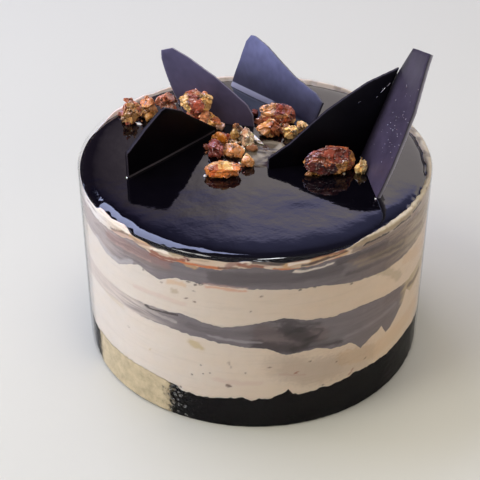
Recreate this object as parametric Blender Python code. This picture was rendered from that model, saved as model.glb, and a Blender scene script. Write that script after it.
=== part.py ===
"""A round mocha mousse cake in a clear collar: a dark sponge base, pale cream and grey mousse in
layers, a dark glaze, and five chocolate shards standing among pieces of candied pecan.

Sizes below are in millimetres and angles in degrees. An azimuth is measured round the cake from
its front (-Y), positive towards its right (+X). The cake stands on z = 0 with its axis on Z."""

import math
import random

import bmesh
import bpy
import numpy as np
from mathutils import Matrix, Vector, noise

MM = 0.001

# Driving dimensions
CAKE_DIAMETER = 150.0
COLLAR_TOP = 87.0
COLLAR_THICKNESS = 0.4
COLLAR_LIFT = 0.5
GAP = 0.3
GLAZE_TOP = 86.6
GLAZE_THICKNESS = 2.1
GLAZE_EDGE_ROUNDING = 1.2
LIP_TOP = 86.9
LIP_WIDTH = 2.0
SHARD_THICKNESS = 1.7
AROUND = 72
MIDDLE_RING = 0.55

COLLAR_RADIUS = CAKE_DIAMETER / 2
LAYER_RADIUS = COLLAR_RADIUS - COLLAR_THICKNESS - GAP
GLAZE_BOTTOM = GLAZE_TOP - GLAZE_THICKNESS
STAND_HEIGHT = GLAZE_TOP + GAP

# Where two layers meet, as (azimuth, height) at the side. Azimuths past 80 are the hidden back.
SPONGE_TOP = [
    (-180, 18), (-150, 17), (-120, 18.5), (-90, 17.5), (-70, 16), (-62, 16), (-50, 16.8),
    (-40, 17), (-27, 17), (-20, 14.2), (-8, 15.8), (0, 15), (8, 16.5), (11, 19), (14, 17),
    (25, 17.5), (35, 18.5), (50, 19.2), (60, 20.5), (90, 18), (120, 17), (150, 18.5),
]
LOWER_MOUSSE_BOTTOM = [
    (-180, 45), (-150, 44), (-120, 45.5), (-90, 43.5), (-72, 43), (-60, 45), (-50, 46),
    (-27, 46.5), (-15, 45), (-5, 43.5), (4, 42.5), (10, 38.5), (20, 39.5), (25, 37), (32, 37),
    (38, 33), (45, 37), (50, 33), (57, 41), (70, 44), (90, 43), (120, 46), (150, 43),
]
LOWER_MOUSSE_TOP = [
    (-180, 54), (-150, 55.5), (-120, 53.5), (-90, 52), (-55, 53), (-45, 52.5), (-22, 55.2),
    (-10, 52.2), (0, 54.9), (9, 57.8), (16, 54.8), (25, 53.8), (35, 54), (50, 52), (58, 50.5),
    (75, 52), (95, 54.5), (125, 53), (155, 55),
]
UPPER_MOUSSE_BOTTOM = [
    (-180, 70), (-150, 68), (-120, 71), (-90, 70), (-60, 69.5), (-54, 66.5), (-47, 66.3),
    (-38, 72), (-30, 69), (-24, 72.5), (-10, 72.5), (5, 71.9), (20, 70.6), (32, 67.8),
    (45, 66), (60, 66.5), (80, 69), (100, 71), (130, 68.5), (155, 71.5),
]
UPPER_MOUSSE_TOP = [
    (-180, 80), (-150, 79), (-120, 81), (-90, 79.5), (-60, 79.8), (-45, 81), (-40, 82.6),
    (-30, 80), (-10, 80.3), (0, 82.6), (10, 80.5), (25, 82.3), (40, 82.4), (62, 81),
    (90, 79.5), (120, 81), (150, 79),
]
# How far the top cream rises between glaze and collar: 0 is level with the glaze's underside.
CREAM_LIP = [
    (-180, 0.8), (-160, 0.6), (-140, 0.3), (-128, 0.8), (-115, 0.2), (-100, 0), (-59, 0),
    (-56, 0.5), (-50, 0.35), (-44, 0.5), (-39, 0), (28, 0), (42, 1), (110, 1), (125, 0.6),
    (140, 0.3), (160, 0.8),
]

# Each shard: foot of its outline on the glaze, heading of its foot line (from +X towards +Y),
# lean away from the front, and the outline as (along the foot line, up the shard).
SHARDS = {
    "shard_1": dict(
        foot=(-30.3, 31.9), heading=-12.1, lean=19.0,
        outline=[(0, 0), (-8.2, 12.5), (-11.3, 18.9), (-14, 25.7), (-14.2, 29.2), (-9.2, 30.6),
                 (-1.9, 27.4), (10.6, 20.2), (21.1, 12.9), (26.6, 8.8), (29.4, 4.5), (30.3, 0)],
    ),
    "shard_2": dict(
        foot=(-52.3, -18.2), heading=48.5, lean=-3.0,
        outline=[(0, 0), (-0.5, 11.5), (10, 18.8), (19, 24), (21.5, 24.4), (31, 19), (39, 12.2),
                 (52.6, 1.5), (52, 0)],
    ),
    "shard_3": dict(
        foot=(-11.7, 64.2), heading=-44.4, lean=27.0,
        outline=[(0, 0), (-0.3, 7), (-0.1, 13.3), (0, 21.7), (1.6, 25), (3.6, 25.5), (12.9, 23.5),
                 (22, 20), (33.9, 15.8), (48, 12.9), (52.8, 10.2), (52, 0)],
    ),
    "shard_4": dict(
        foot=(6.2, -10.2), heading=15.0, lean=10.0,
        outline=[(-0.8, 0), (-0.4, 4.3), (9, 9.7), (18.7, 17.4), (25.5, 22.5), (33.2, 26.9),
                 (43.2, 32.3), (62, 38.6), (54, 0)],
    ),
    "shard_5": dict(
        foot=(49.0, -32.3), heading=97.0, lean=23.8,
        outline=[(0, 0), (1.8, 13.6), (5.4, 26.7), (9.4, 36.6), (18.8, 50.3), (22.9, 56.4),
                 (40.2, 50.3), (41.1, 40.6), (42.3, 30.5), (40.1, 18.5), (36, 1.3), (35.5, 0)],
    ),
}
LEANING_SHARD = "shard_4"
SHARD_IT_MEETS = "shard_5"

# Each pecan piece: middle (x, y), size (length, width, height), heading, how rough it is, how
# deep its lengthwise grooves are, how many flat chips the chopping took off it, and, for one that
# lies on others, the height of its underside above the glaze.
PECANS = {
    "pecan_01": dict(at=(-56.5, 29.5), size=(7.5, 7, 9), heading=20, rough=0.14, chips=2),
    "pecan_02": dict(at=(-47.8, 32.5), size=(9.5, 7.4, 12), heading=-25, rough=0.14, chips=4),
    "pecan_03": dict(at=(-56.0, 38.5), size=(7, 6, 7), heading=10, rough=0.14, chips=1),
    "pecan_04": dict(at=(-39.6, 41.0), size=(9.5, 8.4, 9.4), heading=35, rough=0.14, chips=1),
    "pecan_05": dict(
        at=(-26.2, 27.6), size=(15, 9.4, 9.8), heading=0, rough=0.06, groove=0.07, lift=6.1,
    ),
    "pecan_06": dict(at=(-20.8, 25.6), size=(9, 7.4, 8.6), heading=-20, rough=0.14, chips=4),
    "pecan_07": dict(at=(-15.9, 9.2), size=(7.6, 5.5, 8), heading=15, rough=0.14, chips=3),
    "pecan_08": dict(at=(-8.2, 14.6), size=(6.6, 7, 8.5), heading=-10, rough=0.14, chips=3),
    "pecan_09": dict(at=(-17.0, 1.2), size=(7.2, 7, 7.5), heading=30, rough=0.16, chips=1),
    "pecan_10": dict(at=(-8.9, 1.0), size=(8.4, 6.2, 5.5), heading=-22, rough=0.14, chips=2),
    "pecan_11": dict(at=(-3.6, 9.0), size=(6, 7.5, 9.5), heading=12, rough=0.16, chips=2),
    "pecan_12": dict(at=(-13.8, -15.2), size=(15.5, 7.6, 7.2), heading=4, rough=0.07, groove=0.08),
    "pecan_13": dict(at=(-3.4, -6.8), size=(7, 5.4, 5), heading=-15, rough=0.14, chips=3),
    "pecan_14": dict(at=(9.8, 30.2), size=(16.5, 9.6, 10), heading=-12, rough=0.06, groove=0.10),
    "pecan_15": dict(at=(6.6, 18.6), size=(9.6, 8, 9), heading=25, rough=0.14, chips=4),
    "pecan_16": dict(at=(15.6, 16.2), size=(5.6, 5.6, 6.4), heading=40, rough=0.14, chips=3),
    "pecan_17": dict(at=(21.0, 20.4), size=(5.8, 5.2, 6.4), heading=-30, rough=0.14, chips=3),
    "pecan_18": dict(at=(31.4, -11.2), size=(22.5, 10.4, 12.5), heading=14, rough=0.05, groove=0.08),
    "pecan_19": dict(at=(43.6, -11.6), size=(5.2, 5.2, 7), heading=0, rough=0.14, chips=3),
    "pecan_20": dict(at=(-28.6, 28.6), size=(6.6, 6.4, 6.0), heading=30, rough=0.12, chips=2),
}
LARGE_PECAN = 14.0
PECAN_SINK = 0.16
GROOVES = 7


def clear_scene():
    for item in list(bpy.data.objects):
        bpy.data.objects.remove(item, do_unlink=True)


def material(name, colour, roughness, metallic=0.0, alpha=1.0):
    made = bpy.data.materials.new(name)
    made.use_nodes = True
    shader = made.node_tree.nodes["Principled BSDF"]
    shader.inputs["Base Color"].default_value = (*colour, 1.0)
    shader.inputs["Roughness"].default_value = roughness
    shader.inputs["Metallic"].default_value = metallic
    shader.inputs["Alpha"].default_value = alpha
    made.diffuse_color = (*colour, alpha)
    return made


def add_object(name, mesh_maker, finish, sharp=40.0):
    """Closes the bmesh, faces it outwards and links it to the scene as one named object."""
    bmesh.ops.recalc_face_normals(mesh_maker, faces=mesh_maker.faces)
    mesh = bpy.data.meshes.new(name)
    mesh_maker.to_mesh(mesh)
    mesh_maker.free()
    mesh.materials.append(finish)
    mesh.shade_smooth()
    mesh.set_sharp_from_angle(angle=math.radians(sharp))
    made = bpy.data.objects.new(name, mesh)
    bpy.context.scene.collection.objects.link(made)
    return made


def height_at(points, azimuth):
    """The height of a boundary at an azimuth, on straight runs between its named points."""
    azimuths = [point[0] for point in points]
    heights = [point[1] for point in points]
    return float(np.interp(azimuth, azimuths, heights, period=360.0))


def mean_height(points):
    return float(np.mean([height_at(points, azimuth) for azimuth in azimuths_round()]))


def azimuths_round():
    return [360.0 * step / AROUND - 180.0 for step in range(AROUND)]


def at_azimuth(azimuth, radius, height):
    turn = math.radians(azimuth)
    return Vector((radius * math.sin(turn), -radius * math.cos(turn), height)) * MM


def boundary(points, offset=0.0):
    """A surface that is wavy at the side and calms down towards the axis of the cake."""
    mean = mean_height(points)

    def height(azimuth, radius):
        share = (radius / LAYER_RADIUS) ** 2
        return mean + (height_at(points, azimuth) - mean) * share + offset

    return height


def flat(height_mm):
    return lambda azimuth, radius: height_mm


def add_ring(shape, radius_at, height):
    """One ring of points round the axis; radius_at and height both follow the azimuth."""
    ring = []
    for azimuth in azimuths_round():
        radius = radius_at(azimuth)
        ring.append(shape.verts.new(at_azimuth(azimuth, radius, height(azimuth, radius))))
    return ring


def join_rings(shape, first, second):
    """A band of triangles whose diagonals run the same way above and below a shared boundary."""
    outward = first[0].co.xy.length < second[0].co.xy.length
    for index in range(AROUND):
        after = (index + 1) % AROUND
        if outward:
            shape.faces.new((first[index], first[after], second[after]))
            shape.faces.new((first[index], second[after], second[index]))
        else:
            shape.faces.new((first[index], first[after], second[index]))
            shape.faces.new((first[after], second[after], second[index]))


def close_ring(shape, ring, height):
    """A fan from the ring to a point on the axis."""
    middle = shape.verts.new(at_azimuth(0.0, 0.0, height(0.0, 0.0)))
    for index in range(AROUND):
        shape.faces.new((ring[index], ring[(index + 1) % AROUND], middle))


def turned_solid(name, rings, finish):
    """A solid of rings listed from the middle of its floor, out and up, to the middle of its top."""
    shape = bmesh.new()
    made = [add_ring(shape, radius_at, height) for radius_at, height in rings]
    for first, second in zip(made, made[1:]):
        join_rings(shape, first, second)
    close_ring(shape, made[0], rings[0][1])
    close_ring(shape, made[-1], rings[-1][1])
    return add_object(name, shape, finish, sharp=60.0)


def layer(name, floor, top, finish):
    """A layer that runs right through the cake, between two surfaces."""
    middle = flat(MIDDLE_RING * LAYER_RADIUS)
    edge = flat(LAYER_RADIUS)
    rings = [(middle, floor), (edge, floor), (edge, top), (middle, top)]
    rings = [((lambda azimuth, at=radius: at(azimuth, 0.0)), height) for radius, height in rings]
    return turned_solid(name, rings, finish)


def lip_share(azimuth):
    return height_at(CREAM_LIP, azimuth)


def glaze_radius(azimuth):
    return LAYER_RADIUS - GAP - LIP_WIDTH * lip_share(azimuth)


def build_layers(sponge, cream, mousse, marbled):
    layer("base_sponge", flat(0.0), boundary(SPONGE_TOP, -GAP), sponge)
    layer("cream_lower", boundary(SPONGE_TOP), boundary(LOWER_MOUSSE_BOTTOM, -GAP), cream)
    layer("mousse_lower", boundary(LOWER_MOUSSE_BOTTOM), boundary(LOWER_MOUSSE_TOP, -GAP), mousse)
    layer("cream_upper", boundary(LOWER_MOUSSE_TOP), boundary(UPPER_MOUSSE_BOTTOM, -GAP), cream)
    layer("mousse_upper", boundary(UPPER_MOUSSE_BOTTOM), boundary(UPPER_MOUSSE_TOP, -GAP), mousse)
    build_top_cream(marbled)


def build_top_cream(finish):
    """The marbled cream under the glaze, with the lip that stands between glaze and collar."""
    floor = boundary(UPPER_MOUSSE_TOP)
    seat = GLAZE_BOTTOM - GAP
    middle = flat(MIDDLE_RING * LAYER_RADIUS)

    def lip_height(azimuth, radius):
        return seat + (LIP_TOP - seat) * lip_share(azimuth)

    def at_middle(azimuth):
        return middle(azimuth, 0.0)

    def at_edge(azimuth):
        return LAYER_RADIUS

    def round_glaze(azimuth):
        return glaze_radius(azimuth) + 0.5 * GAP

    def lip_inside(azimuth):
        return glaze_radius(azimuth) + 0.8 * GAP

    rings = [
        (at_middle, floor),
        (at_edge, floor),
        (at_edge, lip_height),
        (lip_inside, lip_height),
        (round_glaze, flat(seat)),
        (at_middle, flat(seat)),
    ]
    turned_solid("cream_top", rings, finish)


def build_glaze(finish):
    """The glaze disc, with a rounded upper edge."""
    middle = MIDDLE_RING * LAYER_RADIUS
    profile = [(0.0, -GLAZE_THICKNESS), (0.0, -GLAZE_EDGE_ROUNDING)]
    for turn in (30.0, 60.0, 90.0):
        inward = GLAZE_EDGE_ROUNDING * (1.0 - math.cos(math.radians(turn)))
        down = GLAZE_EDGE_ROUNDING * (1.0 - math.sin(math.radians(turn)))
        profile.append((inward, -down))
    rings = [(lambda azimuth: middle, flat(GLAZE_BOTTOM))]
    for inward, drop in profile:
        rings.append((lambda azimuth, by=inward: glaze_radius(azimuth) - by, flat(GLAZE_TOP + drop)))
    rings.append((lambda azimuth: middle, flat(GLAZE_TOP)))
    turned_solid("glaze", rings, finish)


def build_collar(finish):
    """The clear film round the cake, as a thin ring open above and below."""
    shape = bmesh.new()
    inner = COLLAR_RADIUS - COLLAR_THICKNESS
    corners = [
        (inner, COLLAR_LIFT), (COLLAR_RADIUS, COLLAR_LIFT),
        (COLLAR_RADIUS, COLLAR_TOP), (inner, COLLAR_TOP),
    ]
    rings = []
    for radius, height in corners:
        rings.append(add_ring(shape, lambda azimuth, at=radius: at, flat(height)))
    for first, second in zip(rings, rings[1:] + rings[:1]):
        join_rings(shape, first, second)
    add_object("film_collar", shape, finish, sharp=40.0)


def cut_away(shape, point, normal):
    """Removes what lies on the side the normal points to, and closes the cut with a face."""
    everything = shape.verts[:] + shape.edges[:] + shape.faces[:]
    cut = bmesh.ops.bisect_plane(
        shape, geom=everything, plane_co=point, plane_no=normal, clear_outer=True, dist=1e-7
    )
    edges = [item for item in cut["geom_cut"] if isinstance(item, bmesh.types.BMEdge)]
    bmesh.ops.holes_fill(shape, edges=edges, sides=0)


def shard_axes(spec):
    """Unit vectors of a shard: along its foot line, up it, and out of the face seen in front."""
    turn = math.radians(spec["heading"])
    along = Vector((math.cos(turn), math.sin(turn), 0.0))
    front = Vector((along.y, -along.x, 0.0))
    if front.y > 0.0:
        front = -front
    lean = math.radians(spec["lean"])
    up = Vector((0.0, 0.0, math.cos(lean))) - front * math.sin(lean)
    out = front * math.cos(lean) + Vector((0.0, 0.0, math.sin(lean)))
    return along, up, out


def shard_point(spec, along_mm, up_mm, behind_mm=0.0):
    along, up, out = shard_axes(spec)
    foot = Vector((*spec["foot"], STAND_HEIGHT))
    return (foot + along * along_mm + up * up_mm - out * behind_mm) * MM


def build_shard(name, spec, finish, stop=None):
    """A flat plate of chocolate whose lower edge is cut level with the glaze."""
    shape = bmesh.new()
    below = 3.0
    outline = [(a, u if u > 0.0 else -below) for a, u in spec["outline"]]
    front = [shape.verts.new(shard_point(spec, *place)) for place in outline]
    back = [shape.verts.new(shard_point(spec, *place, SHARD_THICKNESS)) for place in outline]
    shape.faces.new(front)
    shape.faces.new(back[::-1])
    for index in range(len(outline)):
        after = (index + 1) % len(outline)
        shape.faces.new((front[index], back[index], back[after], front[after]))
    bmesh.ops.recalc_face_normals(shape, faces=shape.faces)
    cut_away(shape, Vector((0.0, 0.0, STAND_HEIGHT * MM)), Vector((0.0, 0.0, -1.0)))
    if stop is not None:
        cut_away(shape, *stop)
    bmesh.ops.triangulate(shape, faces=shape.faces)
    return add_object(name, shape, finish, sharp=30.0)


def build_shards(finish):
    met = SHARDS[SHARD_IT_MEETS]
    facing = shard_axes(met)[2]
    if facing.x > 0.0:
        facing = -facing
    stop = (shard_point(met, 0.0, 0.0) + facing * GAP * MM, -facing)
    for name, spec in SHARDS.items():
        build_shard(name, spec, finish, stop if name == LEANING_SHARD else None)


def rough_ball(spec, draw):
    """A ball of diameter 1 with lumps, and with grooves that run along X."""
    shape = bmesh.new()
    fine = 3 if max(spec["size"]) >= LARGE_PECAN else 2
    bmesh.ops.create_icosphere(shape, subdivisions=fine, radius=0.5)
    shift = Vector([draw.uniform(-50.0, 50.0) for _ in range(3)])
    for vert in shape.verts:
        lump = noise.noise(vert.co * 2.6 + shift) + 0.5 * noise.noise(vert.co * 6.0 + shift)
        ridge = math.cos(GROOVES * math.atan2(vert.co.z, vert.co.y))
        off_axis = 2.0 * vert.co.yz.length
        swell = 1.6 * spec["rough"] * lump + spec.get("groove", 0.0) * ridge * off_axis
        vert.co *= 1.0 + swell
    return shape


def chip(shape, draw):
    """Takes one flat slice off the ball, at a random slant above its middle."""
    turn = draw.uniform(0.0, 2.0 * math.pi)
    rise = draw.uniform(-0.1, 0.9)
    facing = Vector((math.cos(turn), math.sin(turn), rise)).normalized()
    cut_away(shape, facing * draw.uniform(0.27, 0.36), facing)


def build_pecan(name, spec, seed, finish):
    """A lumpy piece of nut, cut flat where it lies on the glaze, or whole on top of others."""
    draw = random.Random(seed)
    shape = rough_ball(spec, draw)
    for _ in range(spec.get("chips", 0)):
        chip(shape, draw)
    length, width, height = spec["size"]
    bmesh.ops.scale(shape, vec=Vector((length, width, height)) * MM, verts=shape.verts)
    turn = Matrix.Rotation(math.radians(spec["heading"]), 3, "Z")
    bmesh.ops.rotate(shape, matrix=turn, verts=shape.verts)
    lift = spec.get("lift", -PECAN_SINK * height)
    middle = Vector((*spec["at"], STAND_HEIGHT + lift + 0.5 * height)) * MM
    bmesh.ops.translate(shape, vec=middle, verts=shape.verts)
    if lift < 0.0:
        cut_away(shape, Vector((0.0, 0.0, STAND_HEIGHT * MM)), Vector((0.0, 0.0, -1.0)))
    bmesh.ops.triangulate(shape, faces=shape.faces)
    return add_object(name, shape, finish, sharp=35.0)


def build_pecans(finishes):
    for index, (name, spec) in enumerate(PECANS.items()):
        build_pecan(name, spec, index + 11, finishes[index % len(finishes)])


def build():
    clear_scene()
    sponge = material("dark_sponge", (0.020, 0.013, 0.012), 0.8)
    cream = material("pale_cream", (0.62, 0.50, 0.42), 0.5)
    mousse = material("grey_mousse", (0.16, 0.13, 0.135), 0.5)
    marbled = material("marbled_cream", (0.52, 0.38, 0.29), 0.45)
    glaze = material("dark_glaze", (0.010, 0.008, 0.012), 0.05)
    chocolate = material("chocolate", (0.030, 0.020, 0.026), 0.3)
    caramel = material("caramel_pecan", (0.30, 0.10, 0.035), 0.25)
    golden = material("golden_pecan", (0.50, 0.27, 0.10), 0.35)
    clear = material("clear_film", (0.95, 0.95, 0.95), 0.05, alpha=0.12)
    build_layers(sponge, cream, mousse, marbled)
    build_glaze(glaze)
    build_collar(clear)
    build_shards(chocolate)
    build_pecans([caramel, golden])


build()
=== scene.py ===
"""A round mocha mousse cake in its clear collar, dressed for a close view.

Lengths are in millimetres and angles in degrees until a mesh is made, which is in metres. An
azimuth is measured round the cake from its front (-Y), positive towards its right (+X)."""

import math
import random

import bmesh
import bpy
import numpy as np
from mathutils import Matrix, Vector, noise
from mathutils.geometry import delaunay_2d_cdt


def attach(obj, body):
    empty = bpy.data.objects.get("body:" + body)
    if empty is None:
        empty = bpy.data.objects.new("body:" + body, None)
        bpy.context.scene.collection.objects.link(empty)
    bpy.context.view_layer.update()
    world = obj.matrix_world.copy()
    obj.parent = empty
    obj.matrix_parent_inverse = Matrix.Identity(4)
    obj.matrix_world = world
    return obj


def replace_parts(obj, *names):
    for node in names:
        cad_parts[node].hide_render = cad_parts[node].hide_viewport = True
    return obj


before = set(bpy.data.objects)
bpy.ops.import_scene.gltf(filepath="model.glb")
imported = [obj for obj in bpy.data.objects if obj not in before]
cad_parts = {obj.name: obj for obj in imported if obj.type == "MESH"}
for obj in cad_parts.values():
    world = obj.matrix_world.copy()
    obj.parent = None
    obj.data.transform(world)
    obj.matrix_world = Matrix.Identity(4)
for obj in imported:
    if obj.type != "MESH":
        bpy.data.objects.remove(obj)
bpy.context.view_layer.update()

MM = 0.001

# Sizes of the cake
SIDE_RADIUS = 74.5
FILM_RADIUS = 75.0
FILM_THICKNESS = 0.18
FILM_LOW = 0.5
FILM_TOP = 87.0
GLAZE_TOP = 86.6
GLAZE_FLOOR = 84.3
LIP_TOP = 86.9
LIP_WIDTH = 2.0
STAND_HEIGHT = 86.9
RIM_CALMS = 2.5
INNER_RADIUS = 0.55 * SIDE_RADIUS
NEAR_RADIUS = 0.94 * SIDE_RADIUS
COLUMNS = 720
ROW_HEIGHT = 0.55
FILM_COLUMNS = 540
FILM_ROW = 1.5
CREASE_DEPTH = 0.10
FILM_END_START = -104.0
FILM_END_STOP = -68.0
FILM_END_COLUMNS = 60
FILM_END_ROWS = 30
FILM_END_THICKNESS = 0.14
FILM_END_GAP = 0.16
FILM_END_BULGE = 0.22
FOG_COLUMNS = 160
FOG_ROWS = 64
FOG_GAP = 0.16
DROP_COUNT = 70
DROP_DEPTH = 0.32
SHARD_THICKNESS = 1.7
SHARD_WEAR = 0.28
SHARD_SINK = 1.2
SHARD_STEP = 1.6
SHARD_EDGE_STEP = 0.7

AZIMUTHS = np.arange(COLUMNS) * 360.0 / COLUMNS - 180.0

# Where two layers meet at the side, as (azimuth, height)
SPONGE_TOP = [
    (-180, 18), (-150, 17), (-120, 18.5), (-90, 17.5), (-70, 16), (-62, 16), (-50, 16.8),
    (-40, 17), (-27, 17), (-22, 14.4), (-18, 14.0), (-14, 14.5), (-10, 15), (-7, 16.3),
    (-5.5, 15.4), (-3, 16.5),
    (-1.5, 15.4), (0, 14.9), (2, 15.7), (5, 15.5), (9, 18), (11, 20), (12.5, 17.8), (16, 16.5),
    (20, 16.5), (22, 18), (25, 17.3), (33, 19), (50, 19.2), (60, 20.5), (90, 18), (120, 17),
    (150, 18.5),
]
LOWER_MOUSSE_BOTTOM = [
    (-180, 45), (-150, 44), (-120, 45.5), (-90, 43.5), (-72, 43), (-60, 45), (-50, 46),
    (-27, 46.5), (-15, 45), (-5, 43.5), (4, 42.5), (10, 38.5), (20, 39.5), (25, 37), (32, 37),
    (36, 31.5), (38, 33), (45, 37), (47.5, 32), (50, 33), (57, 41), (58.5, 46), (62, 42),
    (70, 44), (90, 43), (120, 46), (150, 43),
]
LOWER_MOUSSE_TOP = [
    (-180, 54), (-150, 55.5), (-120, 53.5), (-90, 52), (-55, 53), (-45, 52.5), (-22, 55.2),
    (-10, 52.2), (0, 54.9), (9, 57.8), (16, 54.8), (25, 53.8), (35, 54), (50, 52), (58, 50.5),
    (75, 52), (95, 54.5), (125, 53), (155, 55),
]
UPPER_MOUSSE_BOTTOM = [
    (-180, 70), (-150, 68), (-120, 71), (-90, 70), (-60, 69.5), (-54, 66.5), (-47, 66.3),
    (-38, 72), (-30, 69), (-24, 72.5), (-10, 72.5), (5, 71.9), (20, 70.6), (32, 67.8),
    (45, 66), (60, 66.5), (80, 69), (100, 71), (130, 68.5), (155, 71.5),
]
UPPER_MOUSSE_TOP = [
    (-180, 80), (-150, 79), (-120, 81), (-90, 79.5), (-60, 79.8), (-45, 81), (-40, 82.6),
    (-30, 80), (-10, 80.3), (0, 82.6), (10, 80.5), (25, 82.3), (40, 82.4), (62, 81),
    (90, 79.5), (120, 81), (150, 79),
]
# Where the glaze meets the cream under it, as (azimuth, height)
GLAZE_SEAT = [
    (-180, 85), (-140, 84.8), (-100, 85.2), (-75, 85.2), (-45, 84.9), (-40, 84.6), (-34, 84.3),
    (-26, 83.9), (-19, 83.9), (-14, 84.5), (-8, 84.3), (-3, 85.2), (4, 85), (9, 84), (14, 84.4),
    (22, 84.8), (30, 85.6), (38, 85.8), (60, 85.5), (110, 85.2), (150, 84.9),
]
# How the glaze falls towards its rim, as (distance from the rim, drop below its top)
RIM_PROFILE = [
    (0.0, 2.4), (0.10, 2.0), (0.30, 1.65), (0.60, 1.34), (0.9, 1.12), (1.2, 0.95), (1.6, 0.77),
    (2.0, 0.63), (2.5, 0.50), (3.0, 0.41), (3.6, 0.32), (4.4, 0.24), (5.4, 0.17), (6.8, 0.10),
    (8.5, 0.05), (10.5, 0.02), (13.0, 0.0),
]
# How much of its full width the cream lip between glaze and collar has
CREAM_LIP = [
    (-180, 0.8), (-160, 0.6), (-140, 0.3), (-128, 0.8), (-115, 0.2), (-100, 0),
    (-59, 0), (-56, 0.5), (-50, 0.35), (-44, 0.5), (-39, 0), (28, 0),
    (42, 1), (110, 1), (125, 0.6), (140, 0.3), (160, 0.8),
]

# Upper edge of the milky patch, as (azimuth, height)
FOG_TOP = [
    (-68, 17.5), (-62, 17.8), (-55.3, 18.0), (-43.4, 18.4), (-33.8, 18.2), (-28.5, 17.6), (-23, 12.4),
]
# Single drops beside the milky patch: azimuth, height, radius
SINGLE_DROPS = [(-19.7, 25, 0.5), (-16.6, 31.1, 0.45), (-15.9, 26.8, 0.4), (-13.7, 27.8, 0.4)]

# Colours as they look in even white light, 0 to 255
PALETTE = {
    "cream": (218, 209, 200),
    "warm_cream": (222, 196, 164),
    "bright_cream": (248, 236, 222),
    "grey": (122, 114, 117),
    "pale_grey": (190, 184, 186),
    "taupe": (125, 107, 98),
    "black": (20, 15, 20),
    "dark": (46, 36, 40),
    "wine": (96, 26, 34),
    "brown": (92, 64, 54),
    "red_brown": (146, 84, 66),
    "orange": (206, 122, 74),
    "tan": (212, 172, 126),
    "khaki": (170, 150, 118),
    "pink": (206, 170, 160),
    "pink_brown": (150, 111, 104),
    "stain": (186, 164, 110),
}

# Strokes of smeared cream and glaze behind the film, and a painted highlight on a drop of glaze:
# colour, strength, half width, softness, and the points it runs through as (azimuth, height)
TOP_STROKES = [
    ("bright_cream", 0.95, 0.45, 0.5,
     [(-62, 85.3), (-56.3, 85.2), (-49, 85.6), (-42.7, 85.5), (-38.7, 84.9)]),
    ("brown", 0.75, 0.35, 0.5,
     [(-50, 81.8), (-48.3, 82), (-44, 83.8), (-40.6, 84.1), (-37.9, 83.9)]),
    ("pink", 0.6, 0.5, 0.6, [(-49, 81), (-44, 82.6), (-40, 83.0)]),
    ("tan", 0.6, 0.4, 0.5, [(-40.6, 84.2), (-36, 84.3), (-32.9, 84.1)]),
    ("black", 0.95, 0.55, 0.5, [(-34.4, 85.6), (-29.8, 84.2), (-24.6, 84.5), (-19.7, 85.4)]),
    ("bright_cream", 0.9, 0.35, 0.4, [(-32.6, 82.5), (-28.3, 83.5), (-25.4, 82.9)]),
    ("red_brown", 0.9, 0.45, 0.5, [(-32.3, 81.5), (-28.4, 80.3), (-24.7, 80.9), (-21.2, 81.7)]),
    ("khaki", 0.7, 0.6, 0.6, [(-25.4, 83.4), (-21, 84.0)]),
    ("wine", 0.95, 0.5, 0.4, [(-20.8, 83.6), (-19.6, 82.7)]),
    # Painted highlight on the wine-red drop of glaze
    ("pink", 0.8, 0.15, 0.25, [(-20.6, 83.7), (-20.2, 83.2)]),
    ("orange", 0.95, 0.45, 0.45, [(-23, 80.6), (-19.2, 80.9), (-14.5, 80.7), (-10.3, 81.1)]),
    ("brown", 0.8, 0.4, 0.4, [(-10.3, 81.2), (-7.5, 81.6), (-5.5, 81.9)]),
    ("pink_brown", 0.75, 0.7, 0.7, [(-8, 82.2), (-6, 84), (-3.5, 85.2)]),
    ("bright_cream", 0.8, 0.4, 0.4, [(-4.2, 84.6), (-2.5, 85.1), (-0.8, 84.9)]),
    ("red_brown", 0.85, 0.6, 0.6, [(-4.2, 83.6), (-1, 83), (2.2, 82.6)]),
    ("dark", 0.8, 0.5, 0.5, [(-0.2, 84.9), (6, 84.1), (11, 83.4), (15.8, 83.6)]),
    ("tan", 0.95, 0.9, 0.5, [(8.9, 82.6), (12.5, 83.8), (20, 84.0), (28, 83.9)]),
    ("bright_cream", 0.85, 0.5, 0.5, [(9.8, 82.9), (12.6, 83.7), (16, 83.8)]),
    ("orange", 0.9, 0.45, 0.45,
     [(6.1, 81.6), (10.2, 80.6), (15.1, 80.4), (22.4, 81.1), (26.3, 82.2)]),
    ("dark", 0.75, 0.25, 0.35, [(14, 82.0), (16.7, 82.3), (19, 82.9), (21.7, 83.6)]),
    ("red_brown", 0.85, 0.3, 0.4, [(9, 84.5), (14, 84.7), (21, 84.8), (27, 84.9)]),
    ("brown", 0.9, 0.28, 0.35, [(17, 82.2), (21, 82.9), (25, 83.6), (28.5, 84.2)]),
    ("khaki", 0.8, 0.7, 0.6, [(30, 85.2), (38, 85.9), (50, 85.8), (64, 85.6), (76, 85.2)]),
    ("taupe", 0.7, 0.9, 0.8, [(31, 83.6), (38, 83.0), (48, 82.2), (62, 81.6)]),
    ("black", 0.9, 0.22, 0.3, [(35, 84.3), (38, 84.5), (41, 84.2), (45, 84.4)]),
    ("black", 0.9, 0.25, 0.3, [(47.5, 84.3), (51, 84.6), (56, 84.1)]),
    ("black", 0.9, 0.3, 0.3, [(58, 84.8), (61, 85.3), (64, 85.0)]),
]
# Raised creases of the film, as strokes of full strength
CREASES = [
    ("cream", 1.0, 0.2, 0.9, [(-71.4, 43.3), (-62.8, 45.2), (-58, 48.4)]),
    ("cream", 1.0, 0.2, 0.9, [(-57.4, 53.8), (-51.3, 52.5), (-45.1, 52.2)]),
]
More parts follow.
